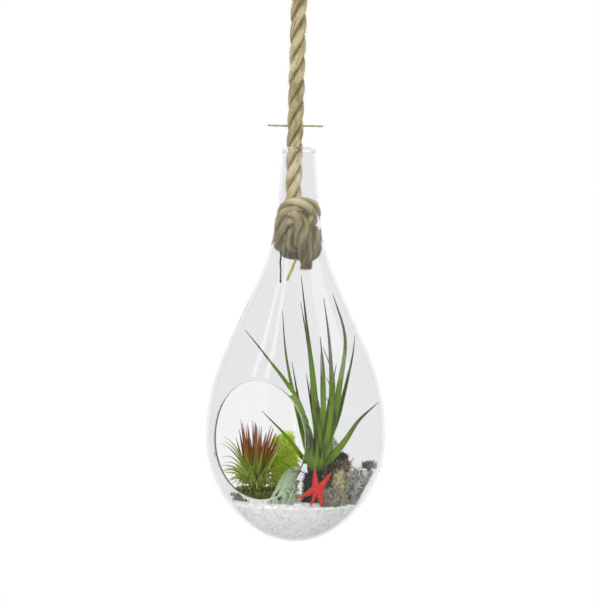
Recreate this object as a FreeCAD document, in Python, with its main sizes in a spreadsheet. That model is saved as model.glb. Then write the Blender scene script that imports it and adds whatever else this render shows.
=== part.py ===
"""Hanging glass terrarium: a blown teardrop vessel with a side opening, on a jute rope.

Millimetres, +Z up. The origin is the point where a hook bears in the rope's eye,
and the vessel's axis is the Z axis below it. The side opening faces -Y.
Heights are measured up from the vessel's lowest point. What lies inside is laid out
in right, toward and up, seen by someone who stands a little to the right of the opening.
"""
import FreeCAD, Part
import math
import os
import random

import Sketcher
from FreeCAD import Placement, Rotation, Vector

os.makedirs("parts", exist_ok=True)
doc = FreeCAD.newDocument("hanging_terrarium")

# Driving dimensions
DIMENSIONS = {
    # blown vessel
    "hang_drop": 480.0,
    "vessel_height": 300.0,
    "belly_radius": 68.3,
    "belly_height": 80.0,
    "flank_angle": 58.0,
    "shoulder_radius": 159.0,
    "shoulder_slope": 24.6,
    "neck_bend_radius": 168.0,
    "neck_taper": 4.6,
    "mouth_radius": 12.4,
    "wall": 1.8,
    "lip_bead": 1.5,
    "opening_width": 76.0,
    "opening_height": 88.0,
    "opening_level": 80.0,
    "opening_round": 0.7,
    # rope and what hangs on it
    "rope_diameter": 12.0,
    "rope_offset": 4.1,
    "knot_depth": 46.0,
    "knot_length": 40.0,
    "knot_clearance": 0.3,
    "tail_diameter": 8.6,
    "tail_length": 6.0,
    "eye_width": 26.0,
    "eye_leg": 18.0,
    "eye_knot_width": 33.0,
    "eye_knot_length": 30.0,
    "rope_joint_gap": 0.2,
    "stem_length": 42.4,
    "stem_diameter": 1.5,
    "stem_above_lip": 17.0,
    "stem_fit": 0.1,
    "twig_diameter": 2.2,
    "twig_length": 17.0,
    "fine_twig_diameter": 1.5,
    "fine_twig_length": 26.0,
    # contents
    "layout_turn": 28.4,
    "gravel_level": 29.5,
    "bed_gap": 0.25,
    "seat_gap": 0.2,
    "grain_size": 3.4,
    "leaf_thickness": 0.8,
    "stump_height": 21.5,
    "stump_radius": 8.0,
    "mat_height": 9.5,
    "mat_length": 38.0,
    "mat_depth": 27.0,
    "moss_height": 49.0,
    "moss_radius": 8.8,
    "star_reach": 17.5,
    "star_thickness": 3.4,
    "star_arm_width": 4.6,
    "slate_thickness": 7.0,
    "slate_length": 27.5,
    "slate_breadth": 20.0,
    "grey_lichen_radius": 8.8,
    "grey_lichen_height": 13.0,
    "tan_lichen_radius": 6.2,
    "tan_lichen_height": 21.0,
    "dried_moss_radius": 8.6,
    "dried_moss_height": 31.0,
    "cream_lichen_radius": 5.2,
    "cream_lichen_height": 47.0,
    "white_lichen_height": 26.0,
    "lichen_branch": 2.0,
    "bark_diameter": 2.6,
}

sizes = doc.addObject("Spreadsheet::Sheet", "Sizes")
for row, (alias, number) in enumerate(DIMENSIONS.items(), start=1):
    sizes.set(f"A{row}", alias)
    sizes.set(f"B{row}", str(number))
    sizes.setAlias(f"B{row}", alias)
doc.recompute()


def size(alias):
    """Read one driving dimension from the sheet."""
    return float(sizes.get(alias))


ROPE_RADIUS = size("rope_diameter") / 2
GRAVEL_TOP = size("gravel_level") + size("seat_gap")
LAYOUT = Placement(Vector(0, 0, -size("hang_drop")), Rotation(Vector(0, 0, 1), size("layout_turn")))
UP = Vector(0, 0, 1)


def spot(right, toward, up):
    """A point of the layout as a vector."""
    return Vector(right, -toward, up)


def placed(point, direction=UP):
    """A placement in the layout, with local Z along the direction."""
    return LAYOUT * Placement(point, Rotation(UP, direction))


def primitive(kind, name, placement, **bindings):
    """Add a Part primitive with its properties bound to the sheet."""
    item = doc.addObject(f"Part::{kind}", name)
    for property_name, expression in bindings.items():
        item.setExpression(property_name, expression)
    item.Placement = placement
    return item


def fused(name, members):
    """Fuse members into one piece."""
    item = doc.addObject("Part::MultiFuse", name)
    item.Shapes = members
    item.Label = name
    return item


def shaped(name, shape, placement=LAYOUT):
    """Keep a shape made with Part's functions as a piece of its own."""
    item = doc.addObject("Part::Feature", name)
    item.Shape = shape
    item.Placement = placement * shape.Placement
    item.Label = name
    return item


def plane_of(body, role):
    """One of the body's own origin planes."""
    return next(item for item in body.Origin.OriginFeatures if item.Role == role)


def sketch_on_xz(body, name, geometry, constraints):
    """A sketch on the body's XZ plane; a named constraint follows its expression."""
    sketch = body.newObject("Sketcher::SketchObject", name)
    sketch.AttachmentSupport = [(plane_of(body, "XZ_Plane"), "")]
    sketch.MapMode = "FlatFace"
    sketch.addGeometry(geometry, False)
    for arguments, label, expression in constraints:
        index = sketch.addConstraint(Sketcher.Constraint(*arguments))
        if label:
            sketch.renameConstraint(index, label)
            sketch.setExpression(f"Constraints.{label}", expression)
    return sketch


class BlownOutline:
    """The vessel's outline: tangent arcs from the base to the mouth, offset inward."""

    def __init__(self, inset=0.0):
        flank = math.radians(size("flank_angle"))
        slope = math.radians(size("shoulder_slope"))
        taper = math.radians(size("neck_taper"))
        belly = Vector(size("belly_radius"), 0, size("belly_height"))
        rim = Vector(size("mouth_radius"), 0, size("vessel_height") - size("lip_bead"))

        step = (belly.z - belly.x) / (math.sin(flank) + math.cos(flank) - 1)
        flank_radius = belly.x + step * math.cos(flank)
        base_radius = flank_radius - step
        shoulder_radius = size("shoulder_radius")
        bend_radius = size("neck_bend_radius")
        shoulder_centre = Vector(belly.x - shoulder_radius, 0, belly.z)
        shoulder_end = shoulder_centre + self.polar(shoulder_radius, slope)

        # the shoulder line and the neck line meet at a corner, which the bend rounds
        shoulder_way = Vector(-math.sin(slope), 0, math.cos(slope))
        neck_way = Vector(-math.sin(taper), 0, math.cos(taper))
        gap = rim - shoulder_end
        reach = (gap.x * neck_way.z - gap.z * neck_way.x) / (
            shoulder_way.x * neck_way.z - shoulder_way.z * neck_way.x)
        corner = shoulder_end + shoulder_way * reach
        cut_back = bend_radius * math.tan((slope - taper) / 2)
        bend_start = corner - shoulder_way * cut_back
        bend_centre = bend_start + self.polar(bend_radius, slope)

        self.flank_angle, self.slope, self.taper = flank, slope, taper
        self.base = (Vector(0, 0, base_radius), base_radius - inset, -math.pi / 2, -flank)
        self.flank = (Vector(belly.x - flank_radius, 0, belly.z), flank_radius - inset, -flank, 0.0)
        self.shoulder = (shoulder_centre, shoulder_radius - inset, 0.0, slope)
        self.bend = (bend_centre, bend_radius + inset, math.pi + taper, math.pi + slope)
        self.rim = rim - Vector(inset, 0, 0)

    @staticmethod
    def polar(radius, angle):
        """A vector in the XZ plane."""
        return Vector(radius * math.cos(angle), 0, radius * math.sin(angle))

    def end_of(self, arc, at_start=False):
        """Start or end point of one arc."""
        centre, radius, start, end = arc
        return centre + self.polar(radius, start if at_start else end)

    def radius_at(self, height):
        """Radius of the outline at a height."""
        if height >= self.end_of(self.bend, at_start=True).z:
            neck = self.end_of(self.bend, at_start=True)
            return neck.x - (height - neck.z) * math.tan(self.taper)
        if height >= self.end_of(self.bend).z:
            centre, radius = self.bend[:2]
            return centre.x - math.sqrt(radius ** 2 - (height - centre.z) ** 2)
        if height >= self.end_of(self.shoulder).z:
            shoulder = self.end_of(self.shoulder)
            return shoulder.x - (height - shoulder.z) * math.tan(self.slope)
        arc = self.shoulder if height >= self.shoulder[0].z else self.flank
        if height < self.end_of(self.base).z:
            arc = self.base
        centre, radius = arc[:2]
        return centre.x + math.sqrt(max(0.0, radius ** 2 - (height - centre.z) ** 2))

    def edges(self, flat):
        """The outline as edges; flat turns them into sketch coordinates."""
        def arc(centre, radius, start, end):
            point = Vector(centre.x, centre.z, 0) if flat else centre
            normal = Vector(0, 0, 1) if flat else Vector(0, -1, 0)
            circle = Part.Circle(point, normal, radius)
            if not flat:
                circle.XAxis = Vector(1, 0, 0)
            return Part.ArcOfCircle(circle, start, end)

        def line(first, second):
            if flat:
                first, second = Vector(first.x, first.z, 0), Vector(second.x, second.z, 0)
            return Part.LineSegment(first, second)

        return [
            arc(*self.base), arc(*self.flank), arc(*self.shoulder),
            line(self.end_of(self.shoulder), self.end_of(self.bend)),
            arc(*self.bend),
            line(self.end_of(self.bend, at_start=True), self.rim),
            line(self.rim, Vector(0, 0, self.rim.z)),
            line(Vector(0, 0, self.rim.z), self.end_of(self.base, at_start=True)),
        ]


def make_vessel():
    """The blown glass: one wall, a beaded lip and an oval side opening."""
    outline = BlownOutline()
    body = doc.addObject("PartDesign::Body", "glass_vessel")
    body.Label = "glass_vessel"
    base, flank, shoulder, slope_line, bend, neck_line, top_line, axis_line = range(8)
    start, end, centre = 1, 2, 3
    origin, vertical = -1, -2
    profile = sketch_on_xz(body, "vessel_profile", outline.edges(flat=True), [
        (("Coincident", base, start, origin, start), None, None),
        (("PointOnObject", base, centre, vertical), None, None),
        (("Tangent", base, end, flank, start), None, None),
        (("Angle", flank, outline.flank_angle), "flank_angle", "Sizes.flank_angle"),
        (("DistanceY", origin, start, flank, centre, size("belly_height")),
         "belly_height", "Sizes.belly_height"),
        (("Horizontal", flank, centre, flank, end), None, None),
        (("DistanceX", origin, start, flank, end, size("belly_radius")),
         "belly_radius", "Sizes.belly_radius"),
        (("Coincident", flank, end, shoulder, start), None, None),
        (("Horizontal", shoulder, centre, shoulder, start), None, None),
        (("Radius", shoulder, size("shoulder_radius")), "shoulder_radius", "Sizes.shoulder_radius"),
        (("Angle", shoulder, outline.slope), "shoulder_slope", "Sizes.shoulder_slope"),
        (("Tangent", shoulder, end, slope_line, start), None, None),
        (("Tangent", slope_line, end, bend, end), None, None),
        (("Radius", bend, size("neck_bend_radius")), "neck_bend", "Sizes.neck_bend_radius"),
        (("Tangent", bend, start, neck_line, start), None, None),
        (("Angle", vertical, start, neck_line, start, outline.taper),
         "neck_taper", "Sizes.neck_taper"),
        (("DistanceX", origin, start, neck_line, end, size("mouth_radius")),
         "mouth_radius", "Sizes.mouth_radius"),
        (("DistanceY", origin, start, neck_line, end, outline.rim.z),
         "rim_height", "Sizes.vessel_height - Sizes.lip_bead"),
        (("Coincident", neck_line, end, top_line, start), None, None),
        (("Horizontal", top_line), None, None),
        (("PointOnObject", top_line, end, vertical), None, None),
        (("Coincident", top_line, end, axis_line, start), None, None),
        (("Coincident", axis_line, end, origin, start), None, None),
    ])
    form = body.newObject("PartDesign::Revolution", "blown_form")
    form.Profile = profile
    form.ReferenceAxis = (profile, ["V_Axis"])
    form.Angle = 360
    doc.recompute()

    mouth = [f"Face{number}" for number, face in enumerate(form.Shape.Faces, start=1)
             if isinstance(face.Surface, Part.Plane)]
    hollow = body.newObject("PartDesign::Thickness", "hollow")
    hollow.Base = (form, mouth)
    hollow.setExpression("Value", "Sizes.wall")
    hollow.Reversed = True

    bead_circle = Part.Circle(
        Vector(size("mouth_radius") - size("wall") / 2, outline.rim.z, 0), UP, size("lip_bead"))
    bead_section = sketch_on_xz(body, "bead_section", [bead_circle], [
        (("Radius", 0, size("lip_bead")), "bead", "Sizes.lip_bead"),
        (("DistanceX", origin, start, 0, centre, bead_circle.Center.x),
         "bead_across", "Sizes.mouth_radius - Sizes.wall / 2"),
        (("DistanceY", origin, start, 0, centre, bead_circle.Center.y),
         "bead_height", "Sizes.vessel_height - Sizes.lip_bead"),
    ])
    lip = body.newObject("PartDesign::Revolution", "lip")
    lip.Profile = bead_section
    lip.ReferenceAxis = (bead_section, ["V_Axis"])
    lip.Angle = 360

    half_width, half_height = size("opening_width") / 2, size("opening_height") / 2
    level = size("opening_level")
    oval = Part.Ellipse(Vector(0, level + half_height, 0), Vector(half_width, level, 0),
                        Vector(0, level, 0))
    opening_outline = sketch_on_xz(body, "opening_outline", [oval], [])
    opening_outline.exposeInternalGeometry(0)
    major, minor = 1, 2
    for arguments, label, expression in [
            (("PointOnObject", 0, centre, vertical), None, None),
            (("DistanceY", origin, start, 0, centre, level), "level", "Sizes.opening_level"),
            (("Vertical", major), None, None),
            (("Distance", major, 2 * half_height), "height", "Sizes.opening_height"),
            (("Distance", minor, 2 * half_width), "width", "Sizes.opening_width")]:
        index = opening_outline.addConstraint(Sketcher.Constraint(*arguments))
        if label:
            opening_outline.renameConstraint(index, label)
            opening_outline.setExpression(f"Constraints.{label}", expression)
    doc.recompute()
    opening = body.newObject("PartDesign::Pocket", "side_opening")
    opening.Profile = opening_outline
    opening.Type = 1
    opening.Reversed = True
    doc.recompute()

    # the fire-polished rim: both edges of the cut are rounded
    cut_faces = [face for face in opening.Shape.Faces
                 if face.Surface.TypeId == "Part::GeomSurfaceOfExtrusion"]
    rim_edges = [f"Edge{number}" for number, edge in enumerate(opening.Shape.Edges, start=1)
                 if any(edge.isSame(other) for face in cut_faces for other in face.Edges)
                 and not edge.isSeam(cut_faces[0])]
    polish = body.newObject("PartDesign::Fillet", "fire_polish")
    polish.Base = (opening, rim_edges)
    polish.setExpression("Radius", "Sizes.opening_round")
    body.Tip = polish
    body.setExpression("Placement.Base.z", "-Sizes.hang_drop")
    return body


def interior(clearance):
    """The space inside the glass, less a clearance."""
    outline = BlownOutline(size("wall") + clearance)
    edges = [edge.toShape() for edge in outline.edges(flat=False)]
    face = Part.Face(Part.Wire(edges))
    return face.revolve(Vector(0, 0, 0), UP, 360)


def inner_radius(height, clearance=0.0):
    """Radius of the space inside the glass at a height."""
    return BlownOutline(size("wall") + clearance).radius_at(height)


# Heights on the rope
HOOK_HEIGHT = size("hang_drop")
KNOT_TOP = size("vessel_height") - size("knot_depth")
KNOT_LOW = KNOT_TOP - size("knot_length")
KNOT_MIDDLE = (KNOT_TOP + KNOT_LOW) / 2
KNOT_STRAND = ROPE_RADIUS * 0.85
LEFT_TURN_END = KNOT_MIDDLE - 6
EYE_CENTRE = HOOK_HEIGHT - size("eye_width") / 2
EYE_KNOT_CENTRE = EYE_CENTRE - size("eye_leg") - size("eye_knot_length") / 3
ROPE_TOP = EYE_KNOT_CENTRE - size("eye_knot_length") / 2 - ROPE_RADIUS / 2
ROPE_FOOT = spot(-size("rope_offset"), 0, KNOT_TOP)
HOOK_POINT = spot(0, 0, HOOK_HEIGHT)


def along_rope(height):
    """A point on the rope's straight line from the knot to the hook."""
    share = (height - KNOT_TOP) / (HOOK_HEIGHT - KNOT_TOP)
    return ROPE_FOOT + (HOOK_POINT - ROPE_FOOT) * share


ROPE_WAY = HOOK_POINT - ROPE_FOOT


def make_rope():
    """The taut rope between its two knots, with the hole that the stem is pushed through."""
    foot = along_rope(KNOT_TOP + size("rope_joint_gap"))
    rope = primitive("Cylinder", "rope_run", placed(foot, ROPE_WAY),
                     Radius="Sizes.rope_diameter / 2")
    rope.Height = (along_rope(ROPE_TOP - size("rope_joint_gap")) - foot).Length
    hole = primitive("Cylinder", "stem_hole", stem_placement(size("rope_diameter")),
                     Radius="Sizes.stem_diameter / 2 + Sizes.stem_fit",
                     Height="Sizes.rope_diameter * 2")
    piece = doc.addObject("Part::Cut", "hanging_rope")
    piece.Base, piece.Tool = rope, hole
    piece.Label = "hanging_rope"


def stem_placement(half_length):
    """A placement on the rope's axis for the stem, half a length to its left."""
    crossing = along_rope(size("vessel_height") + size("stem_above_lip"))
    way = spot(1, 0.12, -0.02).normalize()
    return placed(crossing - way * half_length, way)


def make_stem():
    """The dry green stem pushed through the rope above the lip."""
    stem = primitive("Cylinder", "cross_stem", stem_placement(size("stem_length") / 2),
                     Radius="Sizes.stem_diameter / 2", Height="Sizes.stem_length")
    stem.Label = "cross_stem"


def capsule(name, first, second, radius):
    """A round-ended rod between two points of the layout."""
    rod = doc.addObject("Part::Cylinder", f"{name}_rod")
    rod.Radius = radius
    rod.Height = (second - first).Length
    rod.Placement = placed(first, second - first)
    ends = []
    for number, point in enumerate((first, second)):
        ball = doc.addObject("Part::Sphere", f"{name}_end_{number}")
        ball.Radius = radius
        ball.Placement = placed(point)
        ends.append(ball)
    return [rod, *ends]


def touching(level, radius):
    """How far out a ball of this radius sits when it all but touches the glass."""
    clearance = size("knot_clearance")
    slope = math.atan((inner_radius(level - 1) - inner_radius(level + 1)) / 2)
    return inner_radius(level) - (radius + clearance) / math.cos(slope)


def make_stopper_knot():
    """The overhand knot that the glass hangs on, filling the neck, with its cut tail."""
    middle = KNOT_MIDDLE
    strand = KNOT_STRAND
    heart_radius = inner_radius(middle + size("knot_length") / 4, size("knot_clearance")) - 2
    heart = primitive("Ellipsoid", "knot_heart", placed(spot(0, 0, middle)),
                      Radius1="Sizes.knot_length / 2")
    heart.Radius2 = heart_radius
    heart.Radius3 = heart_radius
    entry = primitive("Cylinder", "knot_entry", placed(along_rope(middle), ROPE_WAY),
                      Radius="Sizes.rope_diameter / 2")
    entry.Height = (ROPE_FOOT - along_rope(middle)).Length
    high = KNOT_TOP - 1.5 * ROPE_RADIUS
    bight = capsule("knot_bight", spot(-2, 4, high), spot(touching(high - 3, strand), 0, high - 3),
                    strand)
    left = capsule("knot_left", spot(-touching(middle + 4, strand), 0, middle + 4),
                   spot(-touching(LEFT_TURN_END, strand), 0, LEFT_TURN_END), strand)
    right = capsule("knot_right", spot(6, 2, middle + 3),
                    spot(touching(KNOT_LOW + 7, strand), 0, KNOT_LOW + 7), strand)
    tail = primitive("Cylinder", "knot_tail",
                     placed(spot(6.2, 1, KNOT_LOW - size("tail_length"))),
                     Radius="Sizes.tail_diameter / 2", Height="Sizes.tail_length + 14")
    fused("stopper_knot", [heart, entry, *bight, *left, *right, tail])


def make_hanging_loop():
    """The upper end of the rope: an overhand knot below an eye for the hook."""
    eye_radius = (size("eye_width") + size("rope_diameter")) / 2
    bow = primitive("Torus", "eye_bow", placed(spot(0, 0, EYE_CENTRE), spot(0, 1, 0)),
                    Radius1="(Sizes.eye_width + Sizes.rope_diameter) / 2",
                    Radius2="Sizes.rope_diameter / 2")
    bow.Placement = LAYOUT * Placement(spot(0, 0, EYE_CENTRE), Rotation(Vector(1, 0, 0), 90))
    bow.Angle3 = 180
    members = [bow]
    knot_side = size("eye_knot_width") / 2 - ROPE_RADIUS
    for name, side in (("left", -1), ("right", 1)):
        members += capsule(f"eye_leg_{name}", spot(side * eye_radius, 0, EYE_CENTRE),
                           spot(side * knot_side, 0, EYE_KNOT_CENTRE + ROPE_RADIUS), ROPE_RADIUS)
    members.append(primitive("Ellipsoid", "eye_knot", placed(spot(0, 0, EYE_KNOT_CENTRE)),
                             Radius1="Sizes.eye_knot_length / 2",
                             Radius2="Sizes.eye_knot_width / 2",
                             Radius3="Sizes.eye_knot_width / 2"))
    members += capsule("eye_knot_turn", spot(-knot_side, 2, EYE_KNOT_CENTRE + 3),
                       spot(knot_side, 3, EYE_KNOT_CENTRE - 4), ROPE_RADIUS)
    entry = primitive("Cylinder", "eye_knot_entry", placed(along_rope(ROPE_TOP), ROPE_WAY),
                      Radius="Sizes.rope_diameter / 2")
    entry.Height = EYE_KNOT_CENTRE - ROPE_TOP
    members.append(entry)
    fused("hanging_loop", members)


def make_knot_twigs():
    """Two bits of dry stem that hang from the knot."""
    joint = size("rope_joint_gap")
    left_foot = spot(-touching(LEFT_TURN_END, KNOT_STRAND), 0,
                     LEFT_TURN_END - KNOT_STRAND - joint)
    for name, start, way, diameter, length in (
            ("knot_twig", spot(-0.5, 2, KNOT_LOW - joint), spot(-0.55, 0.05, -1),
             size("twig_diameter"), size("twig_length")),
            ("knot_fine_twig", left_foot, spot(-0.02, 0.05, -1),
             size("fine_twig_diameter"), size("fine_twig_length"))):
        shaped(name, Part.makeCylinder(diameter / 2, length, start, way))


# Growth: leaves, mounds and branches
def facet(*corners):
    """A flat face through its corners."""
    return Part.Face(Part.makePolygon([*corners, corners[0]]))


def solid_of(faces):
    """A solid closed by flat faces."""
    solid = Part.Solid(Part.makeShell(faces))
    if solid.Volume < 0:
        solid.reverse()
    return solid


def leaf(points, width, thickness, facing, fullness=0.18):
    """A channelled leaf along a smooth line: four-cornered sections that run out in a point."""
    line = Part.BSplineCurve()
    line.interpolate(points)
    first, last = line.FirstParameter, line.LastParameter
    stations = ((0.0, 0.6), (0.15, 0.95), (0.35, 1.0), (0.6, 0.76), (0.82, 0.42))
    rows = []
    for share, breadth in stations:
        parameter = first + (last - first) * share
        point = line.value(parameter)
        tangent = line.tangent(parameter)[0]
        across = tangent.cross(facing).normalize()
        inward = across.cross(tangent).normalize()
        half = width * breadth / 2
        camber = width * breadth * fullness
        depth = thickness * (0.35 + 0.65 * breadth)
        rows.append([point - across * half, point - inward * camber,
                     point + across * half, point - inward * (camber + depth)])
    tip = line.value(last)
    root = rows[0]
    faces = [facet(root[0], root[3], root[1]), facet(root[1], root[3], root[2])]
    for side in range(4):
        beside = (side + 1) % 4
        for low, high in zip(rows, rows[1:]):
            faces.append(facet(low[side], low[beside], high[beside]))
            faces.append(facet(low[side], high[beside], high[side]))
        faces.append(facet(rows[-1][side], rows[-1][beside], tip))
    return solid_of(faces)


def rosette(name, root, crown_radius, crown_height, leaves):
    """A plant: leaves grown from a small crown that stands on its seat."""
    crown = Part.makeCone(crown_radius * 0.8, crown_radius, crown_height * 0.45, root)
    top = root + UP * (crown_height * 0.45)
    crown = crown.fuse(Part.makeCone(crown_radius, crown_radius * 0.45, crown_height * 0.55, top))
    start = root + UP * (crown_height * 0.55)
    blades = []
    for width, *course in leaves:
        points = [start] + [root + spot(*step) for step in course]
        lean = points[-1] - start
        sideways = Vector(lean.x, lean.y, 0)
        facing = spot(0, 1, 0.25) - sideways * (0.5 / max(sideways.Length, 1.0))
        blades.append(leaf(points, width, size("leaf_thickness"), facing.normalize()))
    return shaped(name, crown.multiFuse(blades))


def ring(centre, across, depth, level, lobes, swell, phase):
    """A closed wavy row of points at one level."""
    count = 14
    points = []
    for step in range(count):
        angle = 2 * math.pi * step / count
        wave = 1 + swell * math.cos(lobes * angle + phase)
        points.append(spot(centre[0] + across * wave * math.cos(angle),
                           centre[1] + depth * wave * math.sin(angle), level))
    return points


def mound(centre, across, depth, low, height, profile, lobes=3, swell=0.07, lean=(0, 0)):
    """A lump of flat faces between wavy rows; profile gives (share of height, share of width)."""
    rows = []
    for number, (rise, spread) in enumerate(profile):
        middle = (centre[0] + lean[0] * rise, centre[1] + lean[1] * rise)
        rows.append(ring(middle, across * spread, depth * spread, low + height * rise,
                         lobes, swell, 0.9 * number))
    count = len(rows[0])
    faces = [facet(*rows[0]), facet(*rows[-1])]
    for under, above in zip(rows, rows[1:]):
        for step in range(count):
            beside = (step + 1) % count
            faces.append(facet(under[step], under[beside], above[beside]))
            faces.append(facet(under[step], above[beside], above[step]))
    return solid_of(faces)


def branch(first, last, thick, thin):
    """A tapered branch with a round tip."""
    way = last - first
    cone = Part.makeCone(thick, thin, way.Length, first, way)
    return cone.fuse(Part.makeSphere(thin, last))


ROUND = ((0.0, 0.86), (0.2, 0.97), (0.4, 1.0), (0.62, 0.9), (0.83, 0.66), (1.0, 0.3))
COLUMN = ((0.0, 1.0), (0.25, 0.9), (0.5, 0.85), (0.7, 0.95), (0.88, 0.98), (1.0, 0.5))


def make_gravel():
    """The bed of white gravel: it fills the base of the glass and has loose grains on top."""
    level = size("gravel_level")
    block = Part.makeBox(400, 400, level, Vector(-200, -200, 0))
    bed = interior(size("bed_gap")).common(block)
    chance = random.Random(11)
    reach = inner_radius(level) - size("grain_size")
    grains = []
    spacing = size("grain_size") * 1.9
    rings = int(reach / spacing)
    for number in range(1, rings + 1):
        radius = reach * number / rings
        around = int(2 * math.pi * radius / (spacing * 1.6))
        for step in range(around):
            angle = 2 * math.pi * (step + chance.random() * 0.6) / around
            where = spot(radius * math.cos(angle), radius * math.sin(angle), level)
            clear = all(math.hypot(where.x - x, where.y + y) > keep + size("grain_size")
                        for x, y, keep in FOOTPRINTS)
            if clear:
                grains.append(grain(where, chance))
    shaped("gravel_bed", bed.multiFuse(grains))


def grain(where, chance):
    """One chip of stone, half sunk: eight facets."""
    turn = Rotation(Vector(0, 0, 1), chance.uniform(0, 180))
    half = size("grain_size") / 2
    reach = [turn.multVec(Vector(1, 0, 0)) * half * chance.uniform(0.8, 1.25),
             turn.multVec(Vector(0, 1, 0)) * half * chance.uniform(0.6, 0.9),
             UP * half * chance.uniform(0.5, 0.9)]
    centre = where - UP * 0.15
    faces = []
    for a in (1, -1):
        for b in (1, -1):
            for c in (1, -1):
                corners = [centre + reach[0] * a, centre + reach[1] * b, centre + reach[2] * c]
                faces.append(Part.Face(Part.makePolygon([*corners, corners[0]])))
    return solid_of(faces)


# Where the contents stand: right and toward of each foot, and the radius to keep clear
MAT = (-29.5, -8.0)
MOSS = (-8.5, -31.5)
STUMP = (14.0, 0.0)
STAR = (16.5, 41.5)
SILVER = (-8.5, 16.0)
GREY_LICHEN = (27.0, 27.5)
TAN_LICHEN = (34.5, 13.0)
DRIED_MOSS = (33.5, -20.5)
CREAM_LICHEN = (24.5, -34.0)
SLATE = (46.0, -4.0)
WHITE_LICHEN = (44.0, 15.5)
FOOTPRINTS = [
    (*MAT, 20.0), (*MOSS, 9.5), (*STUMP, 9.0), (*STAR, 12.0), (*SILVER, 11.0),
    (*GREY_LICHEN, 9.5), (*TAN_LICHEN, 7.0), (*DRIED_MOSS, 9.5), (*CREAM_LICHEN, 6.0),
    (*SLATE, 12.0), (*WHITE_LICHEN, 5.5)]

# Leaves: width, then steps from the plant's root in right, toward and up
TALL_LEAVES = (
    (5.6, (-6.8, 4, 33.8), (-17.1, 4, 60.4), (-40.3, 4, 90.9), (-55.4, 2, 109.1)),
    (4.2, (-10.6, -4, 33.2), (-18.7, -6, 63.8), (-24.4, -8, 92.9), (-27.4, -8, 124.3)),
    (4.2, (-9.1, -6, 33.1), (-14.8, -10, 59.8), (-19.5, -13, 85.0)),
    (5.6, (0.1, 0, 33.5), (-2.7, 0, 71.7), (-8.5, 0, 113.7), (-13.2, 0, 151.1)),
    (4.6, (0.9, -4, 33.2), (-2.5, -6, 59.9), (-6.7, -8, 94.4), (-13.3, -9, 130.5)),
    (5.8, (4.4, 6, 45.3), (4.8, 8, 75.8), (1.8, 8, 104.7)),
    (4.0, (4.7, -6, 33.1), (3.6, -10, 63.6), (2.6, -13, 91.9)),
    (6.2, (8.5, 2, 29.8), (11.1, 4, 60.4), (9.1, 4, 98.5), (4.2, 2, 134.3)),
    (6.8, (10.7, 6, 33.9), (17.0, 8, 68.2), (20.8, 4, 103.8), (11.4, 0, 136.6)),
    (5.2, (13.8, -2, 37.2), (20.4, -4, 60.0), (26.8, -4, 89.1), (28.8, -4, 107.0)),
    (6.6, (9.4, 6, 11.5), (21.3, 10, 25.8), (31.7, 12, 41.8), (46.8, 10, 56.1)),
    (4.4, (-9.6, 8, 12.5), (-15.8, 16, 20.9), (-24.5, 20, 31.7), (-41.6, 21, 48.6)),
    (4.6, (-9.0, 5, 24.0), (-12.2, 9, 37.9), (-14.5, 10, 50.1)),
    (5.0, (6.0, -8, 30.0), (10.0, -12, 56.0), (15.0, -16, 84.0)),
)
SMALL_LEAVES = (
    (3.4, (-7.5, 1, 22), (-12.6, 3, 52.5)),
    (3.2, (-4.5, 0, 24), (-7.5, 0, 49.5)),
    (3.4, (-2.0, 1, 25), (-3.4, 3, 52.0)),
    (3.2, (0.0, -1, 25), (-0.8, -3, 48.5)),
    (3.2, (1.5, 2, 24), (1.6, 5, 47.5)),
    (3.4, (4.5, 1, 24), (10.8, 3, 48.5)),
    (3.0, (7.5, 3, 22), (14.6, 8, 42.5)),
    (3.0, (9.0, 6, 17), (15.5, 11, 30.0), (20.0, 14, 39.0)),
    (3.0, (-9.5, 4, 21), (-18.0, 8, 34.0), (-25.0, 11, 40.0)),
    (3.0, (-9.0, 5, 15), (-19.0, 8, 24.0), (-26.5, 8, 24.0)),
    (2.8, (-9.0, 8, 11), (-17.0, 11, 17.0), (-23.0, 12, 17.0)),
    (2.8, (-10.0, 1, 10), (-20.0, 1, 14.5), (-27.0, 0, 12.5)),
    (2.8, (-8.0, 9, 7), (-14.0, 16, 10.5), (-20.0, 20, 8.5)),
    (2.8, (-1.0, 9, 13), (-3.0, 17, 18.0), (-6.0, 23, 16.0)),
    (2.8, (5.0, 8, 12), (9.0, 15, 17.0), (12.0, 21, 16.0)),
    (2.8, (2.0, 7, 16), (4.0, 12, 27.0)),
    (2.8, (8.0, -4, 12), (14.0, -8, 20.0)),
    (2.8, (-2.0, -8, 14), (-5.0, -15, 24.0)),
    (2.8, (-9.0, -6, 12), (-16.0, -12, 18.0)),
    (2.8, (6.0, -8, 13), (10.0, -13, 24.0)),
)
SILVER_BLADES = (
    (6.5, (-9.0, 3, -6), (-21.0, 9, -26)),
    (7.0, (-6.0, 5, -6), (-16.5, 11, -26)),
    (7.0, (-3.5, 6, -7), (-11.5, 12, -26)),
    (6.5, (-1.5, 5, -8), (-6.5, 12, -26)),
    (6.0, (-1.0, 3, -10), (-3.0, 10, -26)),
)


def make_plants():
    """The two green air plants and the silvery one that hangs over the gravel."""
    stump_top = GRAVEL_TOP + size("stump_height") + size("seat_gap")
    rosette("tall_air_plant", spot(*STUMP, stump_top) + spot(2, 0, 0), 6.5, 16, TALL_LEAVES)
    mat_top = GRAVEL_TOP + size("mat_height") + size("seat_gap")
    rosette("small_air_plant", spot(*MAT, mat_top), 5.0, 9, SMALL_LEAVES)

    head = spot(1.5, 8.5, GRAVEL_TOP + 26)
    blades = []
    for width, *course in SILVER_BLADES:
        points = [head] + [head + spot(*step) for step in course]
        blades.append(leaf(points, width, size("leaf_thickness"), spot(-0.3, 1, 0.35).normalize()))
    crown = Part.makeSphere(3.2, head)
    shaped("silver_air_plant", crown.multiFuse(blades))


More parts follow.
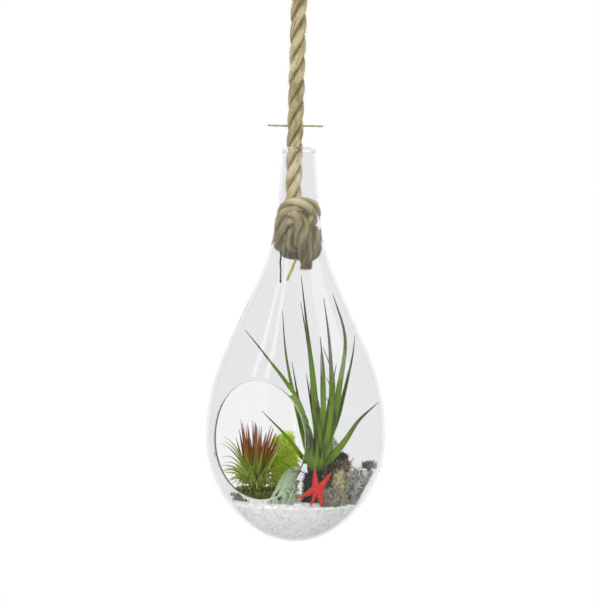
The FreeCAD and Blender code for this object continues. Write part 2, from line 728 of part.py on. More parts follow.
def make_mosses():
    """The mat under the small plant and the upright clump of lime-green moss."""
    mat = mound(MAT, size("mat_length") / 2, size("mat_depth") / 2, GRAVEL_TOP,
                size("mat_height"), ((0.0, 0.9), (0.4, 1.0), (0.8, 0.93), (1.0, 0.75)), 4, 0.06)
    shaped("moss_mat", mat)
    radius = size("moss_radius")
    clump = mound(MOSS, radius, radius, GRAVEL_TOP, size("moss_height"),
                  ((0.0, 0.8), (0.3, 0.95), (0.65, 1.0), (0.9, 0.8), (1.0, 0.4)), 3, 0.1)
    shaped("moss_clump", clump)


def make_stump():
    """The dark bark stump that the tall plant stands on."""
    radius = size("stump_radius")
    stump = mound(STUMP, radius, radius, GRAVEL_TOP, size("stump_height"),
                  ((0.0, 1.0), (0.3, 0.86), (0.7, 0.92), (1.0, 0.84)), 5, 0.06)
    shaped("bark_stump", stump)


# Arms of the star: angle from the right, and length as a share of the reach
STAR_ARMS = ((97, 1.0), (52, 1.02), (288, 0.8), (248, 0.78), (203, 0.95))


def make_star():
    """The red five-armed star that leans on its lower arms: a ridge runs along each arm."""
    reach = size("star_reach")
    half = size("star_thickness") / 2
    valley = size("star_arm_width") * 0.95
    outline = []
    for number, (degrees, share) in enumerate(STAR_ARMS):
        following = STAR_ARMS[(number + 1) % len(STAR_ARMS)][0]
        turn = (degrees - following) % 360
        between = math.radians(degrees - turn / 2)
        angle = math.radians(degrees)
        for way, length in ((angle, reach * share), (between, valley)):
            outline.append(Vector(math.cos(way) * length, 0, math.sin(way) * length))
    faces = []
    for side in (-1, 1):
        peak = Vector(0, half * side, 0)
        for number, point in enumerate(outline):
            ahead = outline[(number + 1) % len(outline)]
            faces.append(facet(peak, point, ahead))
    star = solid_of(faces)
    star.rotate(Vector(0, 0, 0), Vector(1, 0, 0), -9)
    star.translate(spot(*STAR, 0))
    star.translate(UP * (GRAVEL_TOP - star.BoundBox.ZMin))
    shaped("red_star", star)


def make_slate():
    """The slate that leans against the glass on the right."""
    thickness = size("slate_thickness")
    length = size("slate_length")
    breadth = size("slate_breadth")
    foot = inner_radius(GRAVEL_TOP, size("bed_gap")) * 0.97
    lean = math.radians(62)
    along = Vector(math.cos(lean), 0, math.sin(lean))
    back = Vector(-math.sin(lean), 0, math.cos(lean))
    outer = [Vector(foot, 0, GRAVEL_TOP), Vector(foot, 0, GRAVEL_TOP) + along * length]
    corners = [
        outer[0], outer[1], outer[1] + back * (thickness * 0.6),
        outer[0] + along * (length * 0.55) + back * thickness,
        Vector(foot - thickness * 1.1, 0, GRAVEL_TOP)]
    face = Part.Face(Part.makePolygon([*corners, corners[0]]))
    slab = face.extrude(Vector(0, breadth, 0))
    slab.translate(spot(0, SLATE[1] + breadth / 2, 0))
    slab = slab.makeChamfer(1.2, slab.Edges)
    shaped("slate_stone", slab.common(interior(size("bed_gap"))))


def make_lichens():
    """Lichens and dried moss of the right-hand group."""
    low = GRAVEL_TOP
    reach = size("grey_lichen_radius")
    shaped("grey_lichen", mound(GREY_LICHEN, reach, reach, low, size("grey_lichen_height"),
                                ROUND, 4, 0.07))
    reach = size("tan_lichen_radius")
    height = size("tan_lichen_height")
    column = mound(TAN_LICHEN, reach, reach, low, height, COLUMN, 3, 0.06)
    ball = Part.makeSphere(reach * 0.78, spot(*TAN_LICHEN, low + height))
    shaped("tan_lichen", column.fuse(ball))
    reach = size("dried_moss_radius")
    shaped("dried_moss", mound(DRIED_MOSS, reach, reach * 0.9, low, size("dried_moss_height"),
                               COLUMN, 5, 0.08))
    reach = size("cream_lichen_radius")
    shaped("cream_lichen", mound(CREAM_LICHEN, reach, reach, low, size("cream_lichen_height"),
                                 COLUMN, 3, 0.12, lean=(3, 4)))

    thick = size("lichen_branch")
    height = size("white_lichen_height")
    foot = spot(*WHITE_LICHEN, low)
    fork = foot + UP * (height * 0.4)
    stems = [Part.makeCone(thick * 1.3, thick, (fork - foot).Length, foot)]
    for right, toward, share in ((-2, 3, 0.78), (2, 4, 1.0), (5, 2, 0.94), (8, -1, 0.86),
                                 (4, -3, 1.0), (0, -2, 0.86), (-2, 2, 0.6)):
        tip = foot + spot(right, toward, height * share)
        stems.append(branch(fork, tip, thick * 0.8, thick * 0.4))
    shaped("white_lichen", stems[0].multiFuse(stems[1:]))


def crest_of(name):
    """The middle of a piece's top edge, in the layout."""
    shape = doc.getObject(name).Shape
    top = [vertex.Point for vertex in shape.Vertexes if vertex.Z > shape.BoundBox.ZMax - 1]
    middle = sum(top, Vector()) * (1 / len(top))
    return LAYOUT.inverse().multVec(Vector(middle.x, middle.y, shape.BoundBox.ZMax))


def make_bark_curls():
    """Two dark curls of bark that rest on the dried moss and on the slate's top edge."""
    radius = size("bark_diameter") / 2
    moss_top = GRAVEL_TOP + size("dried_moss_height")
    for name, foot, open_from in (
            ("left_bark_curl", spot(*DRIED_MOSS, moss_top), -160),
            ("right_bark_curl", crest_of("slate_stone"), 20)):
        centre = foot + UP * (size("seat_gap") + radius)
        curl = Part.makeTorus(radius * 3, radius, Vector(0, 0, 0), UP, -180, 180, 250)
        curl.rotate(Vector(0, 0, 0), UP, open_from)
        curl.translate(centre)
        shaped(name, curl)


BUILDERS = (
    make_vessel, make_rope, make_stem, make_stopper_knot, make_hanging_loop, make_knot_twigs,
    make_gravel, make_plants, make_mosses, make_stump, make_star, make_slate, make_lichens,
    make_bark_curls)
NODES = (
    "glass_vessel", "hanging_rope", "cross_stem", "stopper_knot", "hanging_loop",
    "knot_twig", "knot_fine_twig", "gravel_bed", "tall_air_plant", "small_air_plant",
    "silver_air_plant", "moss_mat", "moss_clump", "bark_stump", "red_star", "slate_stone",
    "grey_lichen", "tan_lichen", "dried_moss", "cream_lichen", "white_lichen",
    "left_bark_curl", "right_bark_curl")

for build in BUILDERS:
    build()
doc.recompute()

for item in doc.Objects:
    if "Invalid" in item.State or "Error" in item.State:
        raise RuntimeError(f"{item.Name} failed: {item.State}")
pieces = {item.Label: item for item in doc.Objects if item.Label in NODES}
for node in NODES:
    shape = pieces[node].Shape
    if shape.isNull() or not shape.isValid() or not shape.Solids:
        raise RuntimeError(f"{node} is not a valid solid")
for node in NODES:
    shape = pieces[node].Shape
    shape.exportStep(os.path.join("parts", f"{node}.step"))
    print(f"{node}: {len(shape.Solids)} solid, {shape.Volume / 1000:.2f} cm3")
print(f"rope run {pieces['hanging_rope'].Shape.BoundBox.ZLength:.1f} mm, straight, no bends")
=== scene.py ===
"""Dresses the hanging glass terrarium: blown glass on a jute rope, planted with air plants.

Pieces are laid out in millimetres as right, toward and up, seen from the photograph's side,
and one matrix takes them to the frame: metres, +Z up, origin in the rope's eye.
"""

import logging
import math
import random
from dataclasses import dataclass
from enum import Enum
from itertools import combinations
from typing import Callable, Iterable, Sequence

import bmesh
import bpy
from mathutils import Matrix, Vector, geometry, noise

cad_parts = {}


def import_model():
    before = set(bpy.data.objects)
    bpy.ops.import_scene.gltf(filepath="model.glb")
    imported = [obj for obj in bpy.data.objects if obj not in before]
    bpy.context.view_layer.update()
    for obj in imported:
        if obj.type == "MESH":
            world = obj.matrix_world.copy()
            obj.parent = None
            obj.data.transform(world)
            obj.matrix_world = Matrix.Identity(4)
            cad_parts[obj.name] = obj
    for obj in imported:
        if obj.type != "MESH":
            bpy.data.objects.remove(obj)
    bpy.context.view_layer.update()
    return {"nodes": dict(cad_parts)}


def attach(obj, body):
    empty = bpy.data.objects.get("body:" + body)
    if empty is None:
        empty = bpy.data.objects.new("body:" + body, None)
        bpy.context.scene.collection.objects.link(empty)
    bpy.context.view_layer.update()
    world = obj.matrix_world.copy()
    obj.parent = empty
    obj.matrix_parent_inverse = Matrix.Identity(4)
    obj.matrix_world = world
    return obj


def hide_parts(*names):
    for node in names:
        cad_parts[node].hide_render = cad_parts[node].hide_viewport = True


LOG = logging.getLogger("terrarium")
BODY = "root"
MM = 0.001
HANG_DROP = 480.0
LAYOUT_TURN = math.radians(28.4)
LAYOUT = (Matrix.Translation((0, 0, -HANG_DROP * MM))
          @ Matrix.Rotation(LAYOUT_TURN, 4, "Z") @ Matrix.Scale(MM, 4))
TO_LAYOUT = LAYOUT.inverted()
MARKS = "marks"
TINT = "tint"


def spot(right: float, toward: float, up: float) -> Vector:
    """A point of the layout, in millimetres."""
    return Vector((right, -toward, up))


def steps(root: Vector, course: Iterable[Sequence[float]]) -> list[Vector]:
    """Points reached by steps from a root.

    Args:
        root: Where the steps are counted from.
        course: Steps in right, toward and up.

    Returns:
        The root and the points after it.
    """
    return [root] + [root + spot(*step) for step in course]


def run_lengths(line: Sequence[Vector]) -> list[float]:
    """The length travelled along a polyline at each of its points."""
    lengths = [0.0]
    for first, second in zip(line, line[1:]):
        lengths.append(lengths[-1] + (second - first).length)
    return lengths


def resampled(line: Sequence[Vector], spacing: float) -> list[Vector]:
    """Points along a polyline at an even spacing.

    Args:
        line: Points of the polyline.
        spacing: Distance between the points that come back.

    Returns:
        The points, both ends among them.
    """
    lengths = run_lengths(line)
    count = max(2, round(lengths[-1] / spacing))
    points = []
    place = 0
    for number in range(count + 1):
        goal = lengths[-1] * number / count
        while place < len(line) - 2 and lengths[place + 1] < goal:
            place += 1
        span = max(lengths[place + 1] - lengths[place], 1e-9)
        points.append(line[place].lerp(line[place + 1], (goal - lengths[place]) / span))
    return points


def spline_line(controls: Sequence[Vector], spacing: float) -> list[Vector]:
    """Points read from a smooth NURBS spline.

    Args:
        controls: The spline's control points.
        spacing: Distance between the points that come back.

    Returns:
        Points along the spline.
    """
    curve = bpy.data.curves.new("route", "CURVE")
    curve.dimensions = "3D"
    curve.resolution_u = 24
    spline = curve.splines.new("NURBS")
    spline.points.add(len(controls) - 1)
    for point, control in zip(spline.points, controls):
        point.co = (*control, 1.0)
    spline.order_u = 3
    spline.use_endpoint_u = True
    holder = bpy.data.objects.new("route", curve)
    mesh = bpy.data.meshes.new_from_object(holder)
    line = [vertex.co.copy() for vertex in mesh.vertices]
    bpy.data.meshes.remove(mesh)
    bpy.data.objects.remove(holder)
    bpy.data.curves.remove(curve)
    return resampled(line, spacing)


def line_through(points: Sequence[Vector], count: int) -> list[Vector]:
    """A smooth line that passes through its points.

    Args:
        points: Points to pass through.
        count: How many points come back.

    Returns:
        Points of a Catmull-Rom line, evenly spaced.
    """
    padded = [points[0] * 2 - points[1], *points, points[-1] * 2 - points[-2]]
    line = []
    for before, first, second, after in zip(padded, padded[1:], padded[2:], padded[3:]):
        for part in range(12):
            t = part / 12
            line.append(0.5 * (2 * first + (second - before) * t
                               + (2 * before - 5 * first + 4 * second - after) * t ** 2
                               + (3 * first - before - 3 * second + after) * t ** 3))
    line.append(points[-1].copy())
    return resampled(line, run_lengths(line)[-1] / (count - 1))


def value_at(stops: Sequence[tuple[float, float]], share: float) -> float:
    """The value at a share, read between stops of a place and a value."""
    return next(a[1] + (b[1] - a[1]) * (share - a[0]) / (b[0] - a[0])
                for a, b in zip(stops, stops[1:]) if share <= b[0] + 1e-6)


def level_way(angle: float) -> Vector:
    """The level direction at an angle."""
    return Vector((math.cos(angle), math.sin(angle), 0))


def jitter(chance: random.Random, reach: float) -> Vector:
    """A random offset that goes up to the reach along each axis."""
    return Vector([chance.uniform(-reach, reach) for _ in range(3)])


def placed(name: str, data: bpy.types.ID) -> bpy.types.Object:
    """A new object that shows the data, linked to the scene."""
    holder = bpy.data.objects.new(name, data)
    bpy.context.scene.collection.objects.link(holder)
    return holder


def carried_frames(line: Sequence[Vector]) -> list[tuple[Vector, Vector]]:
    """Two directions square to a line at each point, carried along it without twist.

    Args:
        line: Points of the line.

    Returns:
        A pair of unit vectors for each point.
    """
    frames = []
    side = None
    for number, point in enumerate(line):
        ahead = line[min(number + 1, len(line) - 1)] - line[max(number - 1, 0)]
        ahead.normalize()
        if side is None:
            side = ahead.orthogonal().normalized()
        side = (side - ahead * side.dot(ahead)).normalized()
        frames.append((side, ahead.cross(side)))
    return frames


class Draft:
    """Points and faces of one piece in layout millimetres, with its pattern coordinates."""

    def __init__(self) -> None:
        """Start with nothing."""
        self.points: list[Vector] = []
        self.marks: list[tuple[float, float]] = []
        self.tints: list[float] = []
        self.faces: list[tuple[int, ...]] = []

    def add_point(self, point: Vector, mark: tuple[float, float] = (0, 0),
                  tint: float = 0.5) -> int:
        """Add a point and say its number."""
        self.points.append(point)
        self.marks.append(mark)
        self.tints.append(tint)
        return len(self.points) - 1

    def stitch(self, rows: Sequence[Sequence[int]]) -> None:
        """Join closed rows of points with four-cornered faces."""
        count = len(rows[0])
        for low, high in zip(rows, rows[1:]):
            for number in range(count):
                beside = (number + 1) % count
                self.faces.append((low[number], low[beside], high[beside], high[number]))

    def add_tube(self, line: Sequence[Vector], radius: Callable[[float], float], sides: int,
                 tint: float = 0.5, relief: Callable[[float, float], float] | None = None) -> None:
        """Add a closed tube along a line.

        Args:
            line: The tube's centre line.
            radius: Gives the radius at a share of the length.
            sides: Points around the tube.
            tint: A value between 0 and 1 that shifts its colour.
            relief: Gives a factor for the radius at a length in mm and an angle.
        """
        rows = []
        travelled = 0.0
        for number, (point, (side, up)) in enumerate(zip(line, carried_frames(line))):
            if number:
                travelled += (point - line[number - 1]).length
            share = number / (len(line) - 1)
            row = []
            for step in range(sides):
                angle = 2 * math.pi * step / sides
                reach = radius(share) * (relief(travelled, angle) if relief else 1.0)
                where = point + (side * math.cos(angle) + up * math.sin(angle)) * reach
                row.append(self.add_point(where, (step / sides, travelled / 100), tint))
            rows.append(row)
        self.stitch(rows)
        self.faces.append(tuple(reversed(rows[0])))
        self.faces.append(tuple(rows[-1]))

    def add_leaf(self, points: Sequence[Vector], width: float, thickness: float, facing: Vector,
                 tint: float = 0.5, hollow: float = 0.18, rows: int = 26) -> None:
        """Add a channelled leaf that tapers to a point.

        Args:
            points: Points that the leaf's middle passes through, root first.
            width: Greatest width.
            thickness: Thickness at the middle.
            facing: The way that the channel opens.
            tint: A value between 0 and 1 that shifts its colour.
            hollow: Depth of the channel as a share of the width.
            rows: Sections along the leaf.
        """
        outline = ((0.0, 0.75), (0.1, 1.0), (0.28, 0.95), (0.5, 0.66), (0.72, 0.38), (1.0, 0.07))
        line = line_through(points, rows)
        columns = 5
        sections = []
        for number, point in enumerate(line):
            share = number / (rows - 1)
            breadth = value_at(outline, share)
            ahead = (line[min(number + 1, rows - 1)] - line[max(number - 1, 0)]).normalized()
            across = ahead.cross(facing).normalized()
            inward = across.cross(ahead).normalized()
            top, under = [], []
            for column in range(columns):
                place = -1 + 2 * column / (columns - 1)
                sink = width * breadth * hollow * (1 - place ** 2)
                middle = point + across * (place * width * breadth / 2) - inward * sink
                depth = thickness * (0.3 + 0.7 * breadth) * (1 - 0.75 * place ** 2)
                mark = (0.5 + place / 2, share)
                top.append(self.add_point(middle, mark, tint))
                under.append(self.add_point(middle - inward * depth, mark, tint))
            sections.append(top + under[::-1])
        around = 2 * columns
        for low, high in zip(sections, sections[1:]):
            for step in range(around):
                beside = (step + 1) % around
                self.faces.append((low[step], high[step], high[beside], low[beside]))
        self.faces.append(tuple(sections[0]))
        self.faces.append(tuple(reversed(sections[-1])))

    def add_chip(self, centre: Vector, reach: float, flat: Vector, chance: random.Random,
                 flatness: float, tint: float) -> None:
        """Add one angular chip: a jittered twelve-cornered stone.

        Args:
            centre: Its middle.
            reach: Half its greatest width.
            flat: The direction that it is flattened in.
            chance: Source of its jitter.
            flatness: Its thickness as a share of its width.
            tint: A value between 0 and 1 that shifts its colour.
        """
        turn = Matrix.Rotation(chance.uniform(0, math.tau), 3, Vector((chance.random(), 1, 0.4)))
        first = len(self.points)
        for corner in CHIP_CORNERS:
            arm = (turn @ corner.normalized()) * reach * chance.uniform(0.78, 1.12)
            arm -= flat * arm.dot(flat) * (1 - flatness)
            self.add_point(centre + arm, (0, 0), tint)
        for a, b, c in CHIP_FACES:
            self.faces.append((first + a, first + b, first + c))

    def made(self, name: str, finish: bpy.types.Material, slot: str, replaced: Sequence[str] = (),
             smooth: bool = True) -> bpy.types.Object:
        """Make the piece, in place and riding on its body.

        Args:
            name: The piece's name.
            finish: Its material.
            slot: The record's material slot it belongs to; not used.
            replaced: CAD nodes that it stands for.
            smooth: Whether its faces shade smoothly.

        Returns:
            The new object.
        """
        mesh = bpy.data.meshes.new(name)
        mesh.from_pydata([LAYOUT @ point for point in self.points], [], self.faces)
        layer = mesh.uv_layers.new(name=MARKS)
        flat: list[float] = []
        for loop in mesh.loops:
            flat.extend(self.marks[loop.vertex_index])
        layer.data.foreach_set("uv", flat)
        tint = mesh.attributes.new(TINT, "FLOAT", "POINT")
        tint.data.foreach_set("value", self.tints)
        mesh.polygons.foreach_set("use_smooth", [smooth] * len(mesh.polygons))
        work = bmesh.new()
        work.from_mesh(mesh)
        bmesh.ops.recalc_face_normals(work, faces=work.faces)
        work.to_mesh(mesh)
        work.free()
        mesh.update()
        mesh.materials.append(finish)
        piece = placed(name, mesh)
        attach(piece, BODY)
        if replaced:
            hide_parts(*replaced)
        LOG.info("%s: %d faces", name, len(mesh.polygons))
        return piece


def chip_corners() -> list[Vector]:
    """The twelve corners of an icosahedron whose edges are 2 long."""
    golden = (1 + math.sqrt(5)) / 2
    corners = []
    for a, b in ((1, golden), (-1, golden), (1, -golden), (-1, -golden)):
        corners += [Vector((0, a, b)), Vector((a, b, 0)), Vector((b, 0, a))]
    return corners


CHIP_CORNERS = chip_corners()
# Three corners make a face where each two are an edge apart; all others are more than 3 apart
CHIP_FACES = [trio for trio in combinations(range(len(CHIP_CORNERS)), 3)
              if all((CHIP_CORNERS[a] - CHIP_CORNERS[b]).length < 2.1
                     for a, b in combinations(trio, 2))]


# Finishes

def linear(code: str) -> tuple[float, float, float, float]:
    """An sRGB hex value as linear red, green, blue and alpha."""
    parts = [int(code[place:place + 2], 16) / 255 for place in (1, 3, 5)]
    red, green, blue = (p / 12.92 if p <= 0.04045 else ((p + 0.055) / 1.055) ** 2.4 for p in parts)
    return red, green, blue, 1.0


def add_node(tree: bpy.types.NodeTree, kind: str, settings: dict | None = None,
             **inputs: object) -> bpy.types.Node:
    """Add a node with its settings and links.

    Args:
        tree: The tree to add to.
        kind: The node's type, without the leading ShaderNode.
        settings: Properties of the node itself.
        **inputs: Input sockets, spaces as underscores: a value, or a socket to link from.

    Returns:
        The new node.
    """
    node = tree.nodes.new(f"ShaderNode{kind}")
    for name, value in (settings or {}).items():
        setattr(node, name, value)
    for name, value in inputs.items():
        socket = node.inputs[int(name[1:])] if name[0] == "_" else node.inputs[name.replace("_", " ")]
        if isinstance(value, bpy.types.NodeSocket):
            tree.links.new(value, socket)
        else:
            socket.default_value = value
    return node


def set_ramp(ramp: bpy.types.Node, stops: Sequence[tuple[float, str]]) -> None:
    """Fill a colour ramp with stops of a place and a hex colour."""
    elements = ramp.color_ramp.elements
    while len(elements) > 1:
        elements.remove(elements[-1])
    elements[0].position, elements[0].color = stops[0][0], linear(stops[0][1])
    for place, code in stops[1:]:
        elements.new(place).color = linear(code)


@dataclass(frozen=True)
class Finish:
    """What every finish has: a name and a material with an empty tree."""

    name: str

    def blank(self) -> tuple[bpy.types.Material, bpy.types.NodeTree]:
        """A new material and its empty tree."""
        material = bpy.data.materials.new(self.name)
        material.use_nodes = True
        material.node_tree.nodes.clear()
        return material, material.node_tree

    @staticmethod
    def surfaced(material: bpy.types.Material, shader: bpy.types.Node) -> bpy.types.Material:
        """The material, with the shader as its surface."""
        add_node(material.node_tree, "OutputMaterial", Surface=shader.outputs[0])
        return material

    @staticmethod
    def speckle(tree: bpy.types.NodeTree, size_mm: float, **inputs: object) -> bpy.types.Node:
        """Noise of a size in millimetres that stays fixed to the piece."""
        place = add_node(tree, "TexCoord")
        return add_node(tree, "TexNoise", Vector=place.outputs["Object"], Scale=1000 / size_mm,
                        **inputs)


@dataclass(frozen=True)
class BlownGlass(Finish):
    """Soda-lime glass, blown and fire polished: no roughness, a faint neutral body colour.

    Its index starts from 1.5 and is matched down, since the picture's glass mirrors little.
    """

    body: str = "#F3F3F4"
    # Painted shade: the grey-green that caught rays leave with, for the rim's dark line.
    edge: str = "#BEC8BE"
    ior: float = 1.3
    caught_after: float = 4.5

    def made(self) -> bpy.types.Material:
        """Clear glass that lets the lamps' light reach the plants.

        Rays still caught between the wall's two faces after a few bounces pass straight out, tinted
        grey-green: painted shade that gives the rim its dark line.
        """
        material, tree = self.blank()
        glass = add_node(tree, "BsdfPrincipled", Base_Color=linear(self.body), Roughness=0.0,
                         IOR=self.ior, Transmission_Weight=1.0)
        clear = add_node(tree, "BsdfTransparent", Color=(1, 1, 1, 1))
        # Painted shade for rays caught in the wall, mostly at the rim.
        painted_rim_shade = add_node(tree, "BsdfTransparent", Color=linear(self.edge))
        path = add_node(tree, "LightPath")
        caught = add_node(tree, "Math", {"operation": "GREATER_THAN"},
                          _0=path.outputs["Ray Depth"], _1=self.caught_after)
        seen = add_node(tree, "MixShader", _0=caught.outputs[0], _1=glass.outputs[0],
                        _2=painted_rim_shade.outputs[0])
        mix = add_node(tree, "MixShader", _0=path.outputs["Is Shadow Ray"],
                       _1=seen.outputs[0], _2=clear.outputs[0])
        return self.surfaced(material, mix)


@dataclass(frozen=True)
class TwistedJute(Finish):
    """Raw jute, spun and laid: dull straw fibres that run along each strand, with painted shade in
    the grooves between strands.
    """

    fibre_mm: float = 0.45
    run_mm: float = 9.0
    patch_mm: float = 14.0

    def made(self) -> bpy.types.Material:
        """Straw-coloured fibre with streaks along the strand and a raised grain."""
        material, tree = self.blank()
        marks = add_node(tree, "UVMap", {"uv_map": MARKS})
        strand_round_mm = 19.0
        streaks = add_node(tree, "Mapping", Vector=marks.outputs[0],
                           Scale=(strand_round_mm / self.fibre_mm / 2, 100 / self.run_mm, 1.0))
        fibres = add_node(tree, "TexNoise", Vector=streaks.outputs[0], Scale=1.0, Detail=4.0,
                          Roughness=0.6)
        patches = self.speckle(tree, self.patch_mm, Detail=2.0)
        blend = add_node(tree, "Mix", {"data_type": "FLOAT"}, _0=0.35,
                         _2=fibres.outputs["Fac"], _3=patches.outputs["Fac"])
        ramp = add_node(tree, "ValToRGB", Fac=blend.outputs[0])
        set_ramp(ramp, ((0.34, "#6C6138"), (0.44, "#9E9164"), (0.53, "#BFB388"), (0.64, "#DAD0AA")))
        # Painted shade: where the tint is low, in the grooves between strands, the fibre colour is
        # mixed toward dark olive.
        height = add_node(tree, "Attribute", {"attribute_name": TINT})
        groove_shade = add_node(tree, "MapRange", Value=height.outputs["Fac"], To_Min=0.88, To_Max=0.0)
        groove_shaded = add_node(tree, "Mix", {"data_type": "RGBA"}, _0=groove_shade.outputs[0],
                          _6=ramp.outputs[0], _7=linear("#50472A"))
        bump = add_node(tree, "Bump", Strength=1.0, Distance=0.5 * MM, Height=fibres.outputs["Fac"])
        shader = add_node(tree, "BsdfPrincipled", Base_Color=groove_shaded.outputs[2], Roughness=0.86,
                          Sheen_Weight=0.25, Specular_IOR_Level=0.25, Normal=bump.outputs[0])
        return self.surfaced(material, shader)


@dataclass(frozen=True)
class AirPlantLeaf(Finish):
    """A living leaf with a waxy skin under fine scales: satin, streaked along its length."""

    stops: tuple[tuple[float, str], ...]
    streak_dark: str
    scale_bloom: float = 0.0
    bloom: str = "#C8D4C4"
    roughness: float = 0.42
    scale_mm: float = 0.9

    def made(self) -> bpy.types.Material:
        """Colour that runs from root to tip, with fine streaks and a little bloom."""
        material, tree = self.blank()
        marks = add_node(tree, "UVMap", {"uv_map": MARKS})
        parts = add_node(tree, "SeparateXYZ", Vector=marks.outputs[0])
        tint = add_node(tree, "Attribute", {"attribute_name": TINT})
        shift = add_node(tree, "Math", {"operation": "MULTIPLY_ADD"}, _0=tint.outputs["Fac"],
                         _1=0.16, _2=parts.outputs["Y"])
        start = add_node(tree, "Math", {"operation": "SUBTRACT"}, _0=shift.outputs[0], _1=0.08)
        ramp = add_node(tree, "ValToRGB", Fac=start.outputs[0])
        set_ramp(ramp, self.stops)
        streaks = add_node(tree, "Mapping", Vector=marks.outputs[0], Scale=(9.0, 1.6, 1.0))
        grain = add_node(tree, "TexNoise", Vector=streaks.outputs[0], Scale=1.5, Detail=3.0)
        deep = add_node(tree, "MapRange", Value=grain.outputs["Fac"], From_Min=0.46, From_Max=0.74,
                        To_Min=0.0, To_Max=0.6)
        streaked = add_node(tree, "Mix", {"data_type": "RGBA"}, _0=deep.outputs[0],
                            _6=ramp.outputs[0], _7=linear(self.streak_dark))
        scales = self.speckle(tree, self.scale_mm, Detail=1.0)
        bloom = add_node(tree, "MapRange", Value=scales.outputs["Fac"], From_Min=0.45, From_Max=0.7,
                         To_Min=0.0, To_Max=self.scale_bloom)
        colour = add_node(tree, "Mix", {"data_type": "RGBA"}, _0=bloom.outputs[0],
                          _6=streaked.outputs[2], _7=linear(self.bloom))
        bump = add_node(tree, "Bump", Strength=0.35, Distance=0.2 * MM, Height=grain.outputs["Fac"])
        shader = add_node(tree, "BsdfPrincipled", Base_Color=colour.outputs[2],
                          Roughness=self.roughness, Specular_IOR_Level=0.2,
                          Normal=bump.outputs[0])
        return self.surfaced(material, shader)


@dataclass(frozen=True)
class GrownFinish(Finish):
    """Dry, rough and crumbly growth or stone: three colours in patches, and a fine relief."""

    dark: str
    middle: str
    light: str
    patch_mm: float
    grain_mm: float
    relief_mm: float
    roughness: float = 0.85
    sheen: float = 0.0

    def made(self) -> bpy.types.Material:
        """Patches over the piece, shifted by each strand's or chip's own tint."""
        material, tree = self.blank()
        patches = self.speckle(tree, self.patch_mm, Detail=3.0, Roughness=0.6)
        tint = add_node(tree, "Attribute", {"attribute_name": TINT})
        blend = add_node(tree, "Mix", {"data_type": "FLOAT"}, _0=0.5, _2=patches.outputs["Fac"],
                         _3=tint.outputs["Fac"])
        ramp = add_node(tree, "ValToRGB", Fac=blend.outputs[0])
        set_ramp(ramp, ((0.28, self.dark), (0.5, self.middle), (0.7, self.light)))
        grain = self.speckle(tree, self.grain_mm, Detail=3.0)
        bump = add_node(tree, "Bump", Strength=0.7, Distance=self.relief_mm * MM,
                        Height=grain.outputs["Fac"])
        shader = add_node(tree, "BsdfPrincipled", Base_Color=ramp.outputs[0],
                          Roughness=self.roughness, Specular_IOR_Level=0.3,
                          Sheen_Weight=self.sheen, Normal=bump.outputs[0])
        return self.surfaced(material, shader)


